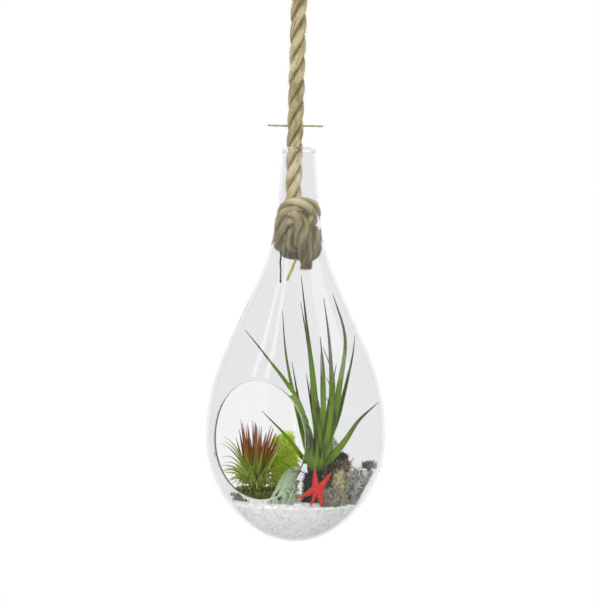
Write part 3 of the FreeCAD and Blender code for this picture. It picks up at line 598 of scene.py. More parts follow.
class Dress(Enum):
    """The finishes of this object; each is made once."""

    GLASS = BlownGlass("blown_soda_lime_glass")
    JUTE = TwistedJute("laid_raw_jute")
    GREEN_LEAF = AirPlantLeaf(
        "waxy_green_leaf",
        ((0.0, "#22260C"), (0.12, "#48660A"), (0.3, "#668A06"), (0.55, "#5A7A05"),
         (0.72, "#4C560E"), (0.84, "#45302A"), (1.0, "#301E20")), "#364C06")
    TIPPED_LEAF = AirPlantLeaf(
        "red_tipped_leaf",
        ((0.0, "#8CA044"), (0.3, "#748C2E"), (0.48, "#847C2A"), (0.64, "#985628"),
         (0.84, "#905038"), (1.0, "#8C7484")), "#5A5E1C", scale_bloom=0.1)
    FRESH_LEAF = AirPlantLeaf(
        "fresh_green_leaf",
        ((0.0, "#A6B654"), (0.3, "#8CA03E"), (0.7, "#8A9A40"), (1.0, "#A4A060")), "#5E7220",
        scale_bloom=0.15)
    SILVER_LEAF = AirPlantLeaf(
        "silver_scaled_leaf",
        ((0.0, "#6F8A52"), (0.3, "#8FA884"), (0.75, "#A8BD98"), (1.0, "#AEBFA0")), "#4A6A50",
        scale_bloom=0.45, bloom="#D4E0D2", roughness=0.6)
    DRY_STEM = GrownFinish("dried_green_stem", "#7C8862", "#97A47C", "#B4BF98", 6, 0.8, 0.1, 0.6)
    YELLOW_STEM = GrownFinish("dried_yellow_stem", "#8A7A28", "#B0A24A", "#CFC68A", 5, 0.8, 0.1, 0.6)
    GRAVEL = GrownFinish("crushed_white_marble", "#DCDCD4", "#F3F3F0", "#FCFCFC", 9, 1.2, 0.2, 0.55)
    LIME_MOSS = GrownFinish("preserved_lime_moss", "#B2CC44", "#D8EE54", "#E8F670", 6, 0.6, 0.1, 0.8,
                            0.1)
    MAT_MOSS = GrownFinish("dried_mat_moss", "#3E3C1C", "#7A7C40", "#A0AC58", 5, 0.7, 0.1, 0.9, 0.1)
    BARK = GrownFinish("weathered_dark_bark", "#14140C", "#2E2D1C", "#4C4630", 4, 0.9, 0.4, 0.92)
    DRIED_MOSS = GrownFinish("dried_branch_moss", "#3B3322", "#7C6C4A", "#B0A684", 5, 0.7, 0.2, 0.9)
    GREY_LICHEN = GrownFinish("grey_crust_lichen", "#6A6654", "#A29C88", "#C6C0AC", 3.5, 0.8, 0.3)
    TAN_LICHEN = GrownFinish("tan_cup_lichen", "#968C64", "#CEC49C", "#E8E0BC", 3.0, 0.8, 0.3)
    CREAM_LICHEN = GrownFinish("cream_reindeer_lichen", "#968E6C", "#CFC8A6", "#EEEAD4", 4, 0.7, 0.2)
    WHITE_LICHEN = GrownFinish("white_reindeer_lichen", "#6E6C62", "#E2E1D8", "#F8F8F4", 4, 0.7, 0.2)
    # Painted shade: a dark grey slab's colour, standing where shade falls under the lichen.
    SHADE_SLAB = GrownFinish("slate_painted_shade", "#34383C", "#4E545A", "#6C7278", 7, 1.0, 0.3, 0.75)
    RED_GLAZE = GrownFinish("red_glazed_ceramic", "#8E0E0C", "#C4140E", "#DC2E20", 9, 1.5, 0.12, 0.35)

    @property
    def material(self) -> bpy.types.Material:
        """The finish's material, made at its first use."""
        found = bpy.data.materials.get(self.value.name)
        return found or self.value.made()


# Studio

@dataclass(frozen=True)
class SoftBox:
    """One lamp with a diffuser, placed round the vessel from the camera's side."""

    name: str
    right_of_camera: float
    elevation: float
    distance: float
    width: float
    height: float
    radiance: float
    mirrored: bool = True


@dataclass(frozen=True)
class Studio:
    """The photograph's camera, and plain soft light on white."""

    turn: float = LAYOUT_TURN
    distance: float = 1.56
    above_base: float = 183.2
    sideways: float = 2.2
    roll: float = 0.0121
    focal_px: float = 2043.0
    frame_px: float = 602.0
    sensor: float = 36.0
    floor_drop: float = 1.15
    floor_reach: float = 1.5
    ambient: float = 0.72
    lamp_aim: float = 140.0
    boxes: tuple[SoftBox, ...] = (
        SoftBox("left_outer_box", -67, 38, 1.5, 0.16, 0.75, 3.0),
        SoftBox("left_inner_box", -45, 38, 1.5, 0.16, 0.75, 3.0),
        SoftBox("right_box", 74, 38, 1.5, 0.95, 0.75, 1.8),
        SoftBox("top_box", 10, 80, 1.4, 1.2, 1.2, 0.5),
        SoftBox("front_fill", -14, 4, 1.9, 1.2, 1.0, 2.6, mirrored=False))

    def add_camera(self) -> None:
        """Add the level camera, rolled a little as the photograph is."""
        ahead = Vector((math.sin(self.turn), -math.cos(self.turn), 0))
        right = Vector((math.cos(self.turn), math.sin(self.turn), 0))
        up = Vector((0, 0, 1))
        rolled_right = right * math.cos(self.roll) + up * math.sin(self.roll)
        rolled_up = up * math.cos(self.roll) - right * math.sin(self.roll)
        camera = bpy.data.cameras.new("camera")
        camera.sensor_width = self.sensor
        camera.lens = self.focal_px / self.frame_px * self.sensor
        camera.clip_start = 0.05
        holder = placed("camera", camera)
        base = LAYOUT @ Vector((0, 0, self.above_base))
        place = base + ahead * self.distance + right * (self.sideways * MM)
        turn = Matrix((rolled_right, rolled_up, ahead)).transposed()
        holder.matrix_world = Matrix.Translation(place) @ turn.to_4x4()
        bpy.context.scene.camera = holder

    def add_lamps(self) -> None:
        """Add the soft boxes, each turned to the vessel's middle."""
        middle = LAYOUT @ Vector((0, 0, self.lamp_aim))
        for box in self.boxes:
            turn = self.turn + math.radians(box.right_of_camera)
            rise = math.radians(box.elevation)
            way = Vector((math.sin(turn) * math.cos(rise), -math.cos(turn) * math.cos(rise),
                          math.sin(rise)))
            lamp = bpy.data.lights.new(box.name, "AREA")
            lamp.shape = "RECTANGLE"
            lamp.size, lamp.size_y = box.width, box.height
            lamp.energy = box.radiance * math.pi * box.width * box.height
            holder = placed(box.name, lamp)
            holder.location = middle + way * box.distance
            holder.rotation_mode = "QUATERNION"
            holder.rotation_quaternion = (-way).to_track_quat("-Z", "Y")
            holder.visible_camera = False
            holder.visible_glossy = box.mirrored

    def add_world(self) -> None:
        """White to the camera, in glass and in gloss; a plain level for everything else."""
        world = bpy.data.worlds.new("studio_white")
        bpy.context.scene.world = world
        world.use_nodes = True
        tree = world.node_tree
        tree.nodes.clear()
        path = add_node(tree, "LightPath")
        seen = add_node(tree, "Math", {"operation": "MAXIMUM"}, _0=path.outputs["Is Camera Ray"],
                        _1=path.outputs["Is Transmission Ray"])
        shown = add_node(tree, "Math", {"operation": "MAXIMUM"}, _0=seen.outputs[0],
                         _1=path.outputs["Is Glossy Ray"])
        level = add_node(tree, "MapRange", Value=shown.outputs[0], To_Min=self.ambient, To_Max=1.0)
        sky = add_node(tree, "Background", Color=(1, 1, 1, 1), Strength=level.outputs[0])
        add_node(tree, "OutputWorld", Surface=sky.outputs[0])

    def add_floor(self) -> None:
        """A pale round floor well below the hanging glass."""
        mesh = bpy.data.meshes.new("floor")
        sides = 64
        rim = [(self.floor_reach * math.cos(math.tau * n / sides),
                self.floor_reach * math.sin(math.tau * n / sides), -self.floor_drop)
               for n in range(sides)]
        mesh.from_pydata(rim, [], [tuple(range(sides))])
        material = bpy.data.materials.new("pale_floor")
        material.use_nodes = True
        shader = material.node_tree.nodes["Principled BSDF"]
        shader.inputs["Base Color"].default_value = linear("#F4F4F4")
        shader.inputs["Roughness"].default_value = 0.9
        mesh.materials.append(material)
        floor = placed("floor", mesh)

    def build(self) -> None:
        """Set the studio up."""
        bpy.context.scene.view_settings.view_transform = "Standard"
        self.add_camera()
        self.add_lamps()
        self.add_world()
        self.add_floor()


# Rope

@dataclass(frozen=True)
class LaidRope:
    """Three-strand jute: how its strands lie round a line."""

    diameter: float = 12.6
    strand_share: float = 0.262
    sides: int = 26
    lay_mm: float = 49.0
    yarns: int = 9
    yarn_twist_mm: float = 30.0
    hair_per_mm: float = 4.5
    hair_reach: float = 2.1

    def add_strands(self, draft: Draft, line: Sequence[Vector], scale: float = 1.0,
                    phase: float = 0.0, thin_end: bool = False) -> None:
        """Lay three strands round a line.

        Args:
            draft: The piece that takes them.
            line: The rope's centre line.
            scale: Size against the full diameter.
            phase: Where the first strand starts, as an angle.
            thin_end: Whether the far end is cut and squeezed.
        """
        strand = self.diameter * self.strand_share * scale
        offset = self.diameter * scale / 2 - strand
        frames = carried_frames(line)
        lengths = run_lengths(line)
        for number in range(3):
            path = []
            for point, (side, up), length in zip(line, frames, lengths):
                angle = phase + math.tau * (number / 3 + length / self.lay_mm)
                path.append(point + (side * math.cos(angle) + up * math.sin(angle)) * offset)

            def girth(share: float) -> float:
                """Radius of the strand along its length."""
                return strand * (1 - 0.3 * max(0.0, share - 0.93) / 0.07 * thin_end)

            def yarn(length: float, angle: float) -> float:
                """Low ridges that wind round the strand."""
                turn = self.yarns * (angle - math.tau * length / self.yarn_twist_mm)
                return 1 + 0.035 * math.cos(turn) + 0.03 * math.sin(2.3 * turn + length * 0.35)

            first = len(draft.points)
            draft.add_tube(path, girth, self.sides, 0.5, yarn)
            # Painted shade mask: each point's tint falls to 0 toward the rope's axis, so the grooves
            # between strands render darker.
            for place, point in enumerate(draft.points[first:]):
                height = (point - line[place // self.sides]).length / (self.diameter * scale / 2)
                draft.tints[first + place] = min(1.0, max(0.0, (height - 0.62) / 0.33))

    def add_hairs(self, draft: Draft, line: Sequence[Vector], chance: random.Random,
                  scale: float = 1.0) -> None:
        """Loose fibre ends that stand off the rope.

        Args:
            draft: The piece that takes them.
            line: The rope's centre line.
            chance: Source of their places.
            scale: Size against the full diameter.
        """
        frames = carried_frames(line)
        for _ in range(int(run_lengths(line)[-1] * self.hair_per_mm)):
            place = chance.randrange(1, len(line) - 1)
            side, up = frames[place]
            ahead = (line[place + 1] - line[place - 1]).normalized()
            angle = chance.uniform(0, math.tau)
            out = side * math.cos(angle) + up * math.sin(angle)
            start = line[place] + out * (self.diameter * scale / 2 - 0.9)
            lean = ahead * chance.uniform(-1.4, 1.4) + out.cross(ahead) * chance.uniform(-0.8, 0.8)
            reach = self.hair_reach * chance.uniform(0.3, 1.0) ** 1.5
            way = (out * 0.55 + lean).normalized()
            middle = start + way * reach * 0.8 + out * 0.3
            end = middle + (way + out * chance.uniform(-0.6, 0.5)).normalized() * reach
            thick = chance.uniform(0.06, 0.13)
            draft.add_tube([start, middle, end], lambda share: thick * (1 - 0.7 * share), 3,
                           chance.random())


@dataclass(frozen=True)
class HangingRope:
    """The rope: a taut run, the stopper knot inside the neck and the eye above."""

    route: tuple[tuple[float, float, float], ...] = (
        (-0.003603, -0.001948, -0.2258),
        (-0.002274, -0.001230, -0.1425),
        (-0.000945, -0.000511, -0.0592))
    length: float = 0.1667
    diameter: float = 0.012
    knot_route: tuple[tuple[float, float, float], ...] = (
        (-4.0, 0, 262), (-4.0, -1.0, 254), (-3.0, -4.5, 246), (2.0, -8.5, 239), (9.5, -5.0, 236),
        (11.0, 3.0, 237), (14.0, 2.5, 226), (11.0, -6.0, 218.5), (0, -10.0, 219),
        (-10.5, -6.0, 222), (-14.5, 2.5, 228), (-12.0, 6.0, 239), (-11.5, 5.0, 250.5),
        (-2.5, 8.0, 257.5), (9.0, 6.5, 256), (12.5, -1.0, 250), (8.5, -5.5, 242),
        (0.5, -1.5, 238), (-6.0, 4.0, 243), (-2.0, 11.5, 248.5), (3.0, 9.5, 240),
        (2.5, 11.0, 230), (6.5, 6.0, 219), (6.2, 1.0, 213), (6.2, 0.5, 208.2))
    knot_heart: tuple[tuple[float, float, float], ...] = (
        (8.5, -2.0, 252), (7.0, 0.5, 245), (6.5, 0.5, 236), (2.0, 0.0, 224.5), (-5.5, 1.0, 226),
        (-6.5, 2.0, 236), (-5.5, 1.0, 247))
    eye_route: tuple[tuple[float, float, float], ...] = (
        (-1.1, 0, 417), (-0.8, 0, 424), (1.0, 0, 432), (9.0, -2, 443), (17.5, 0, 455),
        (19.0, 0, 463), (19.0, 0, 477), (11.0, 0, 486), (-11.0, 0, 486), (-19.0, 0, 477),
        (-19.0, 0, 463), (-17.5, 0, 455), (-9.0, 1, 445), (-1.0, 9, 443), (9.0, 9, 441),
        (12.5, 0, 438), (8.0, -9.5, 436), (-7.0, -10, 436), (-12.5, 0, 437), (-8.0, 10, 435),
        (4.0, 10.5, 433), (10.0, 5, 430), (8.0, -4, 429), (1.0, -8, 431), (-6.0, -7, 429))
    knot_scale: float = 0.92
    # Painted shade on the knot: darkest at this level, fading out over the rise above it.
    shade_full_level: float = 216.0
    shade_fade_rise: float = 44.0
    cut_fibres: int = 90
    cut_reach: float = 4.2
    lay: LaidRope = LaidRope()

    def build(self) -> None:
        route = spline_line([Vector(point) for point in self.route], 0.8 * MM)
        run = [TO_LAYOUT @ point for point in route]
        jute = Dress.JUTE.material
        chance = random.Random(21)

        strands = Draft()
        self.lay.add_strands(strands, run, phase=2.1)
        self.lay.add_hairs(strands, run, chance)
        rope = strands.made("laid_rope", jute, "jute", ["hanging_rope"])

        knot = Draft()
        line = spline_line([spot(*point) for point in self.knot_route], 0.8)
        self.lay.add_strands(knot, line, self.knot_scale, thin_end=True)
        inner = spline_line([spot(*point) for point in self.knot_heart], 0.8)
        self.lay.add_strands(knot, inner, self.knot_scale)
        self.lay.add_hairs(knot, line, chance, self.knot_scale)
        for number, point in enumerate(knot.points):  # painted shade: tints fall toward the knot's bottom, so its lower part renders darker
            unshaded_share = (point.z - self.shade_full_level) / self.shade_fade_rise
            knot.tints[number] *= min(1.0, max(0.05, unshaded_share))
        self.add_cut_end(knot, line, chance)
        knotted = knot.made("tied_stopper_knot", jute, "jute", ["stopper_knot"])

        eye = Draft()
        line = spline_line([spot(*point) for point in self.eye_route], 0.8)
        self.lay.add_strands(eye, line)
        self.lay.add_hairs(eye, line, chance)
        looped = eye.made("tied_eye", jute, "jute", ["hanging_loop"])

    def add_cut_end(self, draft: Draft, line: Sequence[Vector], chance: random.Random) -> None:
        """Fibres that fray from the cut tail.

        Args:
            draft: The piece that takes them.
            line: The knot's centre line, tail last.
            chance: Source of their places.
        """
        end = line[-1]
        for _ in range(self.cut_fibres):
            out = level_way(chance.uniform(0, math.tau))
            reach = math.sqrt(chance.random()) * self.cut_reach
            start = end + out * reach + Vector((0, 0, 1.5))
            tip = start + out * 0.4 - Vector((0, 0, chance.uniform(1.6, 3.4)))
            draft.add_tube([start, (start + tip) / 2, tip], lambda share: 0.3 * (1 - 0.6 * share), 4,
                           chance.random())


# Glass

@dataclass(frozen=True)
class BlownVessel:
    """The glass: the same tangent arcs as the solid, with one wall, a beaded lip and an oval hole."""

    height: float = 300.0
    belly_radius: float = 68.3
    belly_height: float = 80.0
    flank: float = math.radians(58.0)
    shoulder_radius: float = 159.0
    slope: float = math.radians(24.6)
    bend_radius: float = 168.0
    taper: float = math.radians(4.6)
    mouth_radius: float = 12.4
    wall: float = 1.8
    bead: float = 1.5
    hole_width: float = 76.0
    hole_height: float = 88.0
    hole_level: float = 80.0
    around: int = 176
    rise: float = 1.9
    rim_steps: int = 8
    rim_points: int = 150
    lip_steps: int = 14
    patch_angle: float = math.radians(44)
    patch_reach: float = 52.0
    patch_margin: float = 2.6

    def arcs(self, inset: float) -> list[tuple[float, float, float, float, float]]:
        """The outline's arcs from the base to the neck.

        Args:
            inset: How far inside the outer surface.

        Returns:
            Centre x, centre z, radius, start and end angle of each arc.
        """
        step = (self.belly_height - self.belly_radius) / (
            math.sin(self.flank) + math.cos(self.flank) - 1)
        flank_radius = self.belly_radius + step * math.cos(self.flank)
        base_radius = flank_radius - step
        shoulder_x = self.belly_radius - self.shoulder_radius
        end_x = shoulder_x + self.shoulder_radius * math.cos(self.slope)
        end_z = self.belly_height + self.shoulder_radius * math.sin(self.slope)
        rim_z = self.height - self.bead
        way = (-math.sin(self.slope), math.cos(self.slope))
        neck = (-math.sin(self.taper), math.cos(self.taper))
        gap = (self.mouth_radius - end_x, rim_z - end_z)
        reach = (gap[0] * neck[1] - gap[1] * neck[0]) / (way[0] * neck[1] - way[1] * neck[0])
        back = reach - self.bend_radius * math.tan((self.slope - self.taper) / 2)
        bend_x = end_x + way[0] * back + self.bend_radius * math.cos(self.slope)
        bend_z = end_z + way[1] * back + self.bend_radius * math.sin(self.slope)
        return [
            (0.0, base_radius, base_radius - inset, -math.pi / 2, -self.flank),
            (self.belly_radius - flank_radius, self.belly_height, flank_radius - inset,
             -self.flank, 0.0),
            (shoulder_x, self.belly_height, self.shoulder_radius - inset, 0.0, self.slope),
            (bend_x, bend_z, self.bend_radius + inset, math.pi + self.slope, math.pi + self.taper)]

    def outline(self, inset: float) -> list[tuple[float, float]]:
        """Radius and height at close steps, from the lowest point to the beaded lip."""
        rows = []
        for x, z, radius, start, end in self.arcs(inset):
            count = max(6, round(abs(end - start) * radius / self.rise))
            for number in range(count + 1):
                angle = start + (end - start) * number / count
                rows.append((x + radius * math.cos(angle), z + radius * math.sin(angle)))
        rim_z = self.height - self.bead
        away = math.acos(self.wall / 2 / self.bead)
        foot_z = rim_z - self.bead * math.sin(away)
        last = rows[-1]
        end_x = self.mouth_radius - inset
        count = round((foot_z - last[1]) / self.rise)
        for number in range(1, count + 1):
            share = number / count
            rows.append((last[0] + (end_x - last[0]) * share, last[1] + (foot_z - last[1]) * share))
        tidy = [rows[0]]
        for row in rows[1:]:
            if math.dist(row, tidy[-1]) > 0.05:
                tidy.append(row)
        return tidy

    def radius_at(self, height: float, inset: float) -> float:
        """Radius of the surface at a height, inside the hole's range."""
        base, flank, shoulder = self.arcs(inset)[:3]
        if height >= self.belly_height:
            arc = shoulder
        else:
            arc = flank if height > flank[1] + flank[2] * math.sin(flank[3]) else base
        return arc[0] + math.sqrt(max(0.0, arc[2] ** 2 - (height - arc[1]) ** 2))

    def on_wall(self, across: float, height: float, inset: float) -> Vector:
        """The point of the front wall at a place across the hole, in the hole's own directions."""
        radius = self.radius_at(height, inset)
        return Vector((across, -math.sqrt(radius ** 2 - across ** 2), height))

    def rim(self) -> list[tuple[float, float]]:
        """The oval where the flat wall ends and the round rim begins."""
        half_width = self.hole_width / 2 + self.wall / 2
        half_height = self.hole_height / 2 + self.wall / 2
        count = self.rim_points
        return [(half_width * math.cos(math.tau * n / count),
                 self.hole_level + half_height * math.sin(math.tau * n / count))
                for n in range(count)]

    def surface(self, inset: float) -> tuple[list[Vector], list[tuple[int, ...]]]:
        """One surface of the wall, with the oval left out.

        Args:
            inset: How far inside the outer surface.

        Returns:
            Points in the hole's own directions, and faces.
        """
        rows = self.outline(inset)
        low = next(n for n, row in enumerate(rows) if row[1] > self.hole_level - self.patch_reach)
        high = next(n for n, row in enumerate(rows) if row[1] > self.hole_level + self.patch_reach)
        columns = self.around
        turns = [math.tau * n / columns for n in range(columns)]
        points = [Vector((radius * math.sin(turn), -radius * math.cos(turn), z))
                  for radius, z in rows[1:] for turn in turns]
        bottom = len(points)
        points.append(Vector((0, 0, rows[0][1])))

        def inside_window(column: int) -> bool:
            """Whether a column of faces lies in the patch round the hole."""
            middle = math.tau * (column + 0.5) / columns
            return min(middle, math.tau - middle) < self.patch_angle

        faces: list[tuple[int, ...]] = []
        for row in range(len(rows) - 2):
            for column in range(columns):
                if low <= row + 1 < high and inside_window(column):
                    continue
                beside = (column + 1) % columns
                base, above = row * columns, (row + 1) * columns
                faces.append((base + column, base + beside, above + beside, above + column))
        for column in range(columns):
            faces.append((bottom, (column + 1) % columns, column))

        patch = [column for column in range(columns + 1)
                 if inside_window(column % columns) or inside_window((column - 1) % columns)]
        half = sum(1 for column in patch if column <= columns // 2) - 1
        span = range(-half, half + 1)
        flat, owners = [], []
        for row in range(low, high + 1):
            for column in span:
                radius, z = rows[row]
                turn = math.tau * column / columns
                edge = row in (low, high) or abs(column) == half
                across = (radius * math.sin(turn)) / (self.hole_width / 2 + self.patch_margin)
                upward = (z - self.hole_level) / (self.hole_height / 2 + self.patch_margin)
                oval = math.hypot(across, upward)
                if math.cos(turn) < 0 or oval > 1.0 or edge:
                    flat.append(Vector((turn * self.belly_radius, z)))
                    owners.append((row - 1) * columns + column % columns)
        oval_first = len(flat)
        for across, z in self.rim():
            radius = self.radius_at(z, inset)
            flat.append(Vector((math.asin(across / radius) * self.belly_radius, z)))
            owners.append(len(points))
            points.append(self.on_wall(across, z, inset))
        count = len(flat) - oval_first
        loop = [(oval_first + n, oval_first + (n + 1) % count) for n in range(count)]
        found = geometry.delaunay_2d_cdt(flat, loop, [], 0, 1e-6, True)
        origin = [inputs[0] if inputs else -1 for inputs in found[3]]
        for face in found[2]:
            corners = [origin[corner] for corner in face]
            if all(corner >= oval_first for corner in corners):
                continue
            faces.append(tuple(owners[corner] for corner in corners))
        return points, faces

    def build(self) -> None:
        """Join both surfaces with the round rim and the beaded lip."""
        draft = Draft()
        untilt = Matrix.Rotation(-LAYOUT_TURN, 3, "Z")
        rims, lips = [], []
        for inset in (0.0, self.wall):
            points, faces = self.surface(inset)
            first = len(draft.points)
            for point in points:
                draft.add_point(untilt @ point)
            for face in faces:
                order = face if inset == 0.0 else tuple(reversed(face))
                draft.faces.append(tuple(first + corner for corner in order))
            count = len(self.rim())
            rims.append([first + len(points) - count + n for n in range(count)])
            top = (len(self.outline(inset)) - 2) * self.around
            lips.append([first + top + n for n in range(self.around)])
        self.add_round_rim(draft, rims)
        self.add_lip(draft, lips, untilt)
        draft.made("blown_glass", Dress.GLASS.material, "glass", ["glass_vessel"])

    def add_round_rim(self, draft: Draft, rims: list[list[int]]) -> None:
        """Close the oval's edge with a half-round strip.

        Args:
            draft: The glass.
            rims: Point numbers of the outer and the inner oval.
        """
        outer, inner = rims
        count = len(outer)
        middle = sum((draft.points[n] for n in outer), Vector()) / count
        rows = [outer]
        for step in range(1, self.rim_steps):
            angle = math.pi * step / self.rim_steps
            row = []
            for number in range(count):
                a, b = draft.points[outer[number]], draft.points[inner[number]]
                along = draft.points[outer[(number + 1) % count]] - draft.points[outer[number - 1]]
                through = (a - b).normalized()
                inward = along.cross(through).normalized()
                if inward.dot(middle - a) < 0:
                    inward.negate()
                where = (a + b) / 2 + (a - b) / 2 * math.cos(angle)
                row.append(draft.add_point(where + inward * (self.wall / 2 * math.sin(angle))))
            rows.append(row)
        rows.append(inner)
        draft.stitch(rows)

    def add_lip(self, draft: Draft, lips: list[list[int]], untilt: Matrix) -> None:
        """Close the mouth with its bead.

        Args:
            draft: The glass.
            lips: Point numbers of the outer and the inner edge.
            untilt: Turns the hole's own directions to the layout's.
        """
        away = math.acos(self.wall / 2 / self.bead)
        rows = [lips[0]]
        centre_x, centre_z = self.mouth_radius - self.wall / 2, self.height - self.bead
        for step in range(1, self.lip_steps):
            angle = -away + (math.pi + 2 * away) * step / self.lip_steps
            radius = centre_x + self.bead * math.cos(angle)
            z = centre_z + self.bead * math.sin(angle)
            row = []
            for number in range(self.around):
                turn = math.tau * number / self.around
                point = Vector((radius * math.sin(turn), -radius * math.cos(turn), z))
                row.append(draft.add_point(untilt @ point))
            rows.append(row)
        rows.append(lips[1])
        draft.stitch(rows)


# Growth

class Surface:
    """A CAD node's surface, to scatter growth over it."""

    def __init__(self, node: bpy.types.Object, seed: int) -> None:
        """Read the node's triangles once.

        Args:
            node: The CAD node.
            seed: Seed of the places that are picked.
        """
        mesh = node.data
        mesh.calc_loop_triangles()
        points = [TO_LAYOUT @ vertex.co for vertex in mesh.vertices]
        self.chance = random.Random(seed)
        self.triangles = []
        self.sums = []
        total = 0.0
        for triangle in mesh.loop_triangles:
            a, b, c = (points[n] for n in triangle.vertices)
            cross = (b - a).cross(c - a)
            total += cross.length / 2
            self.triangles.append((a, b, c, cross.normalized()))
            self.sums.append(total)
        self.area = total
        self.low = min(point.z for point in points)
        self.high = max(point.z for point in points)

    def picks(self, count: int) -> list[tuple[Vector, Vector]]:
        """Random points of the surface.

        Args:
            count: How many.

        Returns:
            Each point with the outward direction there.
        """
        picked = []
        for _ in range(count):
            goal = self.chance.uniform(0, self.area)
            low, high = 0, len(self.sums) - 1
            while low < high:
                middle = (low + high) // 2
                if self.sums[middle] < goal:
                    low = middle + 1
                else:
                    high = middle
            a, b, c, out = self.triangles[low]
            u, v = self.chance.random(), self.chance.random()
            if u + v > 1:
                u, v = 1 - u, 1 - v
            picked.append((a + (b - a) * u + (c - a) * v, out))
        return picked


@dataclass(frozen=True)
class Tufts:
    """One layer of small tufts on a lump."""

    seed: int
    count: int
    reach: float
    sprigs: int = 4
    thick: float = 0.32
    upward: float = 0.3
    curl: float = 0.7
    above: float = 0.0
    node: str = ""


@dataclass(frozen=True)
class Lump:
    """How a lump of moss, lichen, bark or stone is dressed; its tint can be lowered toward its
    bottom.
    """

    name: str
    node: str
    dress: Dress
    slot: str
    swell: float = 0.8
    grain: float = 3.0
    shrink: float = 0.8
    core_tint: float = 0.3
    darkening_below: float = 0.0
    tufts: tuple[Tufts, ...] = ()


@dataclass(frozen=True)
class Planting:
    """Everything that grows or lies in the glass."""

    nodes: dict[str, bpy.types.Object]

    def add_core(self, draft: Draft, node: str, swell: float, grain: float, shrink: float,
                 tint: float = 0.3, longest: float = 1.4, eased: int = 3) -> None:
        """Add a rough copy of a CAD lump, drawn in a little.

        Args:
            draft: The piece that takes it.
            node: The CAD node.
            swell: Depth of the roughness.
            grain: Size of the roughness.
            shrink: How far it is drawn in.
            tint: Its colour shift.
            longest: Edges are halved until none is longer than this.
            eased: How often its flat faces and corners are smoothed.
        """
        work = bmesh.new()
        work.from_mesh(self.nodes[node].data)
        bmesh.ops.remove_doubles(work, verts=work.verts, dist=1e-6)
        bmesh.ops.triangulate(work, faces=work.faces)
        for _ in range(6):
            long_edges = [edge for edge in work.edges if edge.calc_length() > longest * MM]
            if not long_edges or len(work.faces) > 24000:
                break
            bmesh.ops.subdivide_edges(work, edges=long_edges, cuts=1)
            bmesh.ops.triangulate(work, faces=work.faces)
        for _ in range(eased):
            bmesh.ops.smooth_vert(work, verts=work.verts, factor=0.5, use_axis_x=True,
                                  use_axis_y=True, use_axis_z=True)
        work.normal_update()
        first = len(draft.points)
        for vertex in work.verts:
            point = TO_LAYOUT @ vertex.co
            out = (TO_LAYOUT.to_3x3() @ vertex.normal).normalized()
            wave = noise.noise(point / grain) + 0.5 * noise.noise(point / grain * 2.3)
            draft.add_point(point + out * (wave * swell - shrink), (0, 0),
                            tint + 0.3 * noise.noise(point / grain * 1.7))
        for face in work.faces:
            draft.faces.append(tuple(first + vertex.index for vertex in face.verts))
        work.free()

    def add_tufts(self, draft: Draft, node: str, tufts: Tufts) -> None:
        """Scatter small branched tufts over a CAD lump.

        Args:
            draft: The piece that takes them.
            node: The CAD node.
            tufts: How many, how long and how they stand.
        """
        surface = Surface(self.nodes[node], tufts.seed)
        chance = random.Random(tufts.seed + 1)
        floor = surface.low + (surface.high - surface.low) * tufts.above
        for point, out in surface.picks(tufts.count):
            if out.z < -0.35 or point.z < floor:
                continue
            tint = chance.random()
            for _ in range(tufts.sprigs):
                way = (out + Vector((0, 0, tufts.upward)) + jitter(chance, 0.75)).normalized()
                bend = jitter(chance, tufts.curl)
                length = tufts.reach * chance.uniform(0.5, 1.1)
                start = point - out * 0.6
                middle = start + way * length * 0.55
                end = middle + (way + bend).normalized() * length * 0.5
                draft.add_tube([start, middle, end],
                               lambda share: tufts.thick * (1 - 0.65 * share), 4,
                               min(1.0, max(0.0, tint + chance.uniform(-0.2, 0.2))))

    def build_gravel(self) -> None:
        """Crushed marble: a body of chips pressed against the glass, and loose ones on top."""
        draft = Draft()
        self.add_core(draft, "gravel_bed", 0.35, 2.5, 1.3, 0.68, 2.4, 0)
        surface = Surface(self.nodes["gravel_bed"], 5)
        chance = random.Random(6)
        for point, out in surface.picks(GRAVEL_CHIPS):
            on_top = out.z > 0.35 and point.z > GRAVEL_CREST
            reach = chance.uniform(0.9, 1.7) if on_top else chance.uniform(1.1, 2.0)
            sink = 0.15 if on_top else 1.0
            draft.add_chip(point - out * reach * 0.62 * sink, reach, out, chance, 0.6,
                           0.55 + 0.4 * chance.random())
        draft.made("marble_chips", Dress.GRAVEL.material, "gravel", ["gravel_bed"], smooth=False)

    def build_tall_plant(self) -> None:
        """The tall air plant: channelled leaves from one crown, with young ones between."""
        draft = Draft()
        chance = random.Random(31)
        root = spot(*TALL_ROOT)
        for width, *course in TALL_LEAVES:
            self.add_steered_leaf(draft, root, TALL_LIFT, width, course, chance.random(), 0.9)
        for _ in range(YOUNG_LEAVES):
            width, *course = TALL_LEAVES[chance.randrange(2, 10)]
            shift = (chance.uniform(-1.5, 1.5), chance.uniform(-5, 5))
            cut = chance.uniform(0.4, 0.75)
            young = [((right + shift[0] * n) * 0.75, (toward + shift[1] * n), up * cut)
                     for n, (right, toward, up) in enumerate(course, start=1)]
            self.add_steered_leaf(draft, root, TALL_LIFT, width * 0.7, young, chance.random(), 0.8)
        for number in range(FOOT_LEAVES):
            out = level_way(math.tau * number / FOOT_LEAVES + chance.uniform(-0.15, 0.15))
            foot = root + out * 4.2 + Vector((0, 0, 0.6))
            rise = chance.uniform(20, 34)
            draft.add_leaf([foot, foot + out * 2.2 + Vector((0, 0, rise * 0.4)),
                            foot + out * chance.uniform(1.5, 6.5) + Vector((0, 0, rise))],
                           4.6, 0.8, -out, chance.random() * 0.4, 0.24, 16)
        self.add_crown(draft, root, 4.6, 13)
        draft.made("tall_leaves", Dress.GREEN_LEAF.material, "air_plant_green", ["tall_air_plant"])

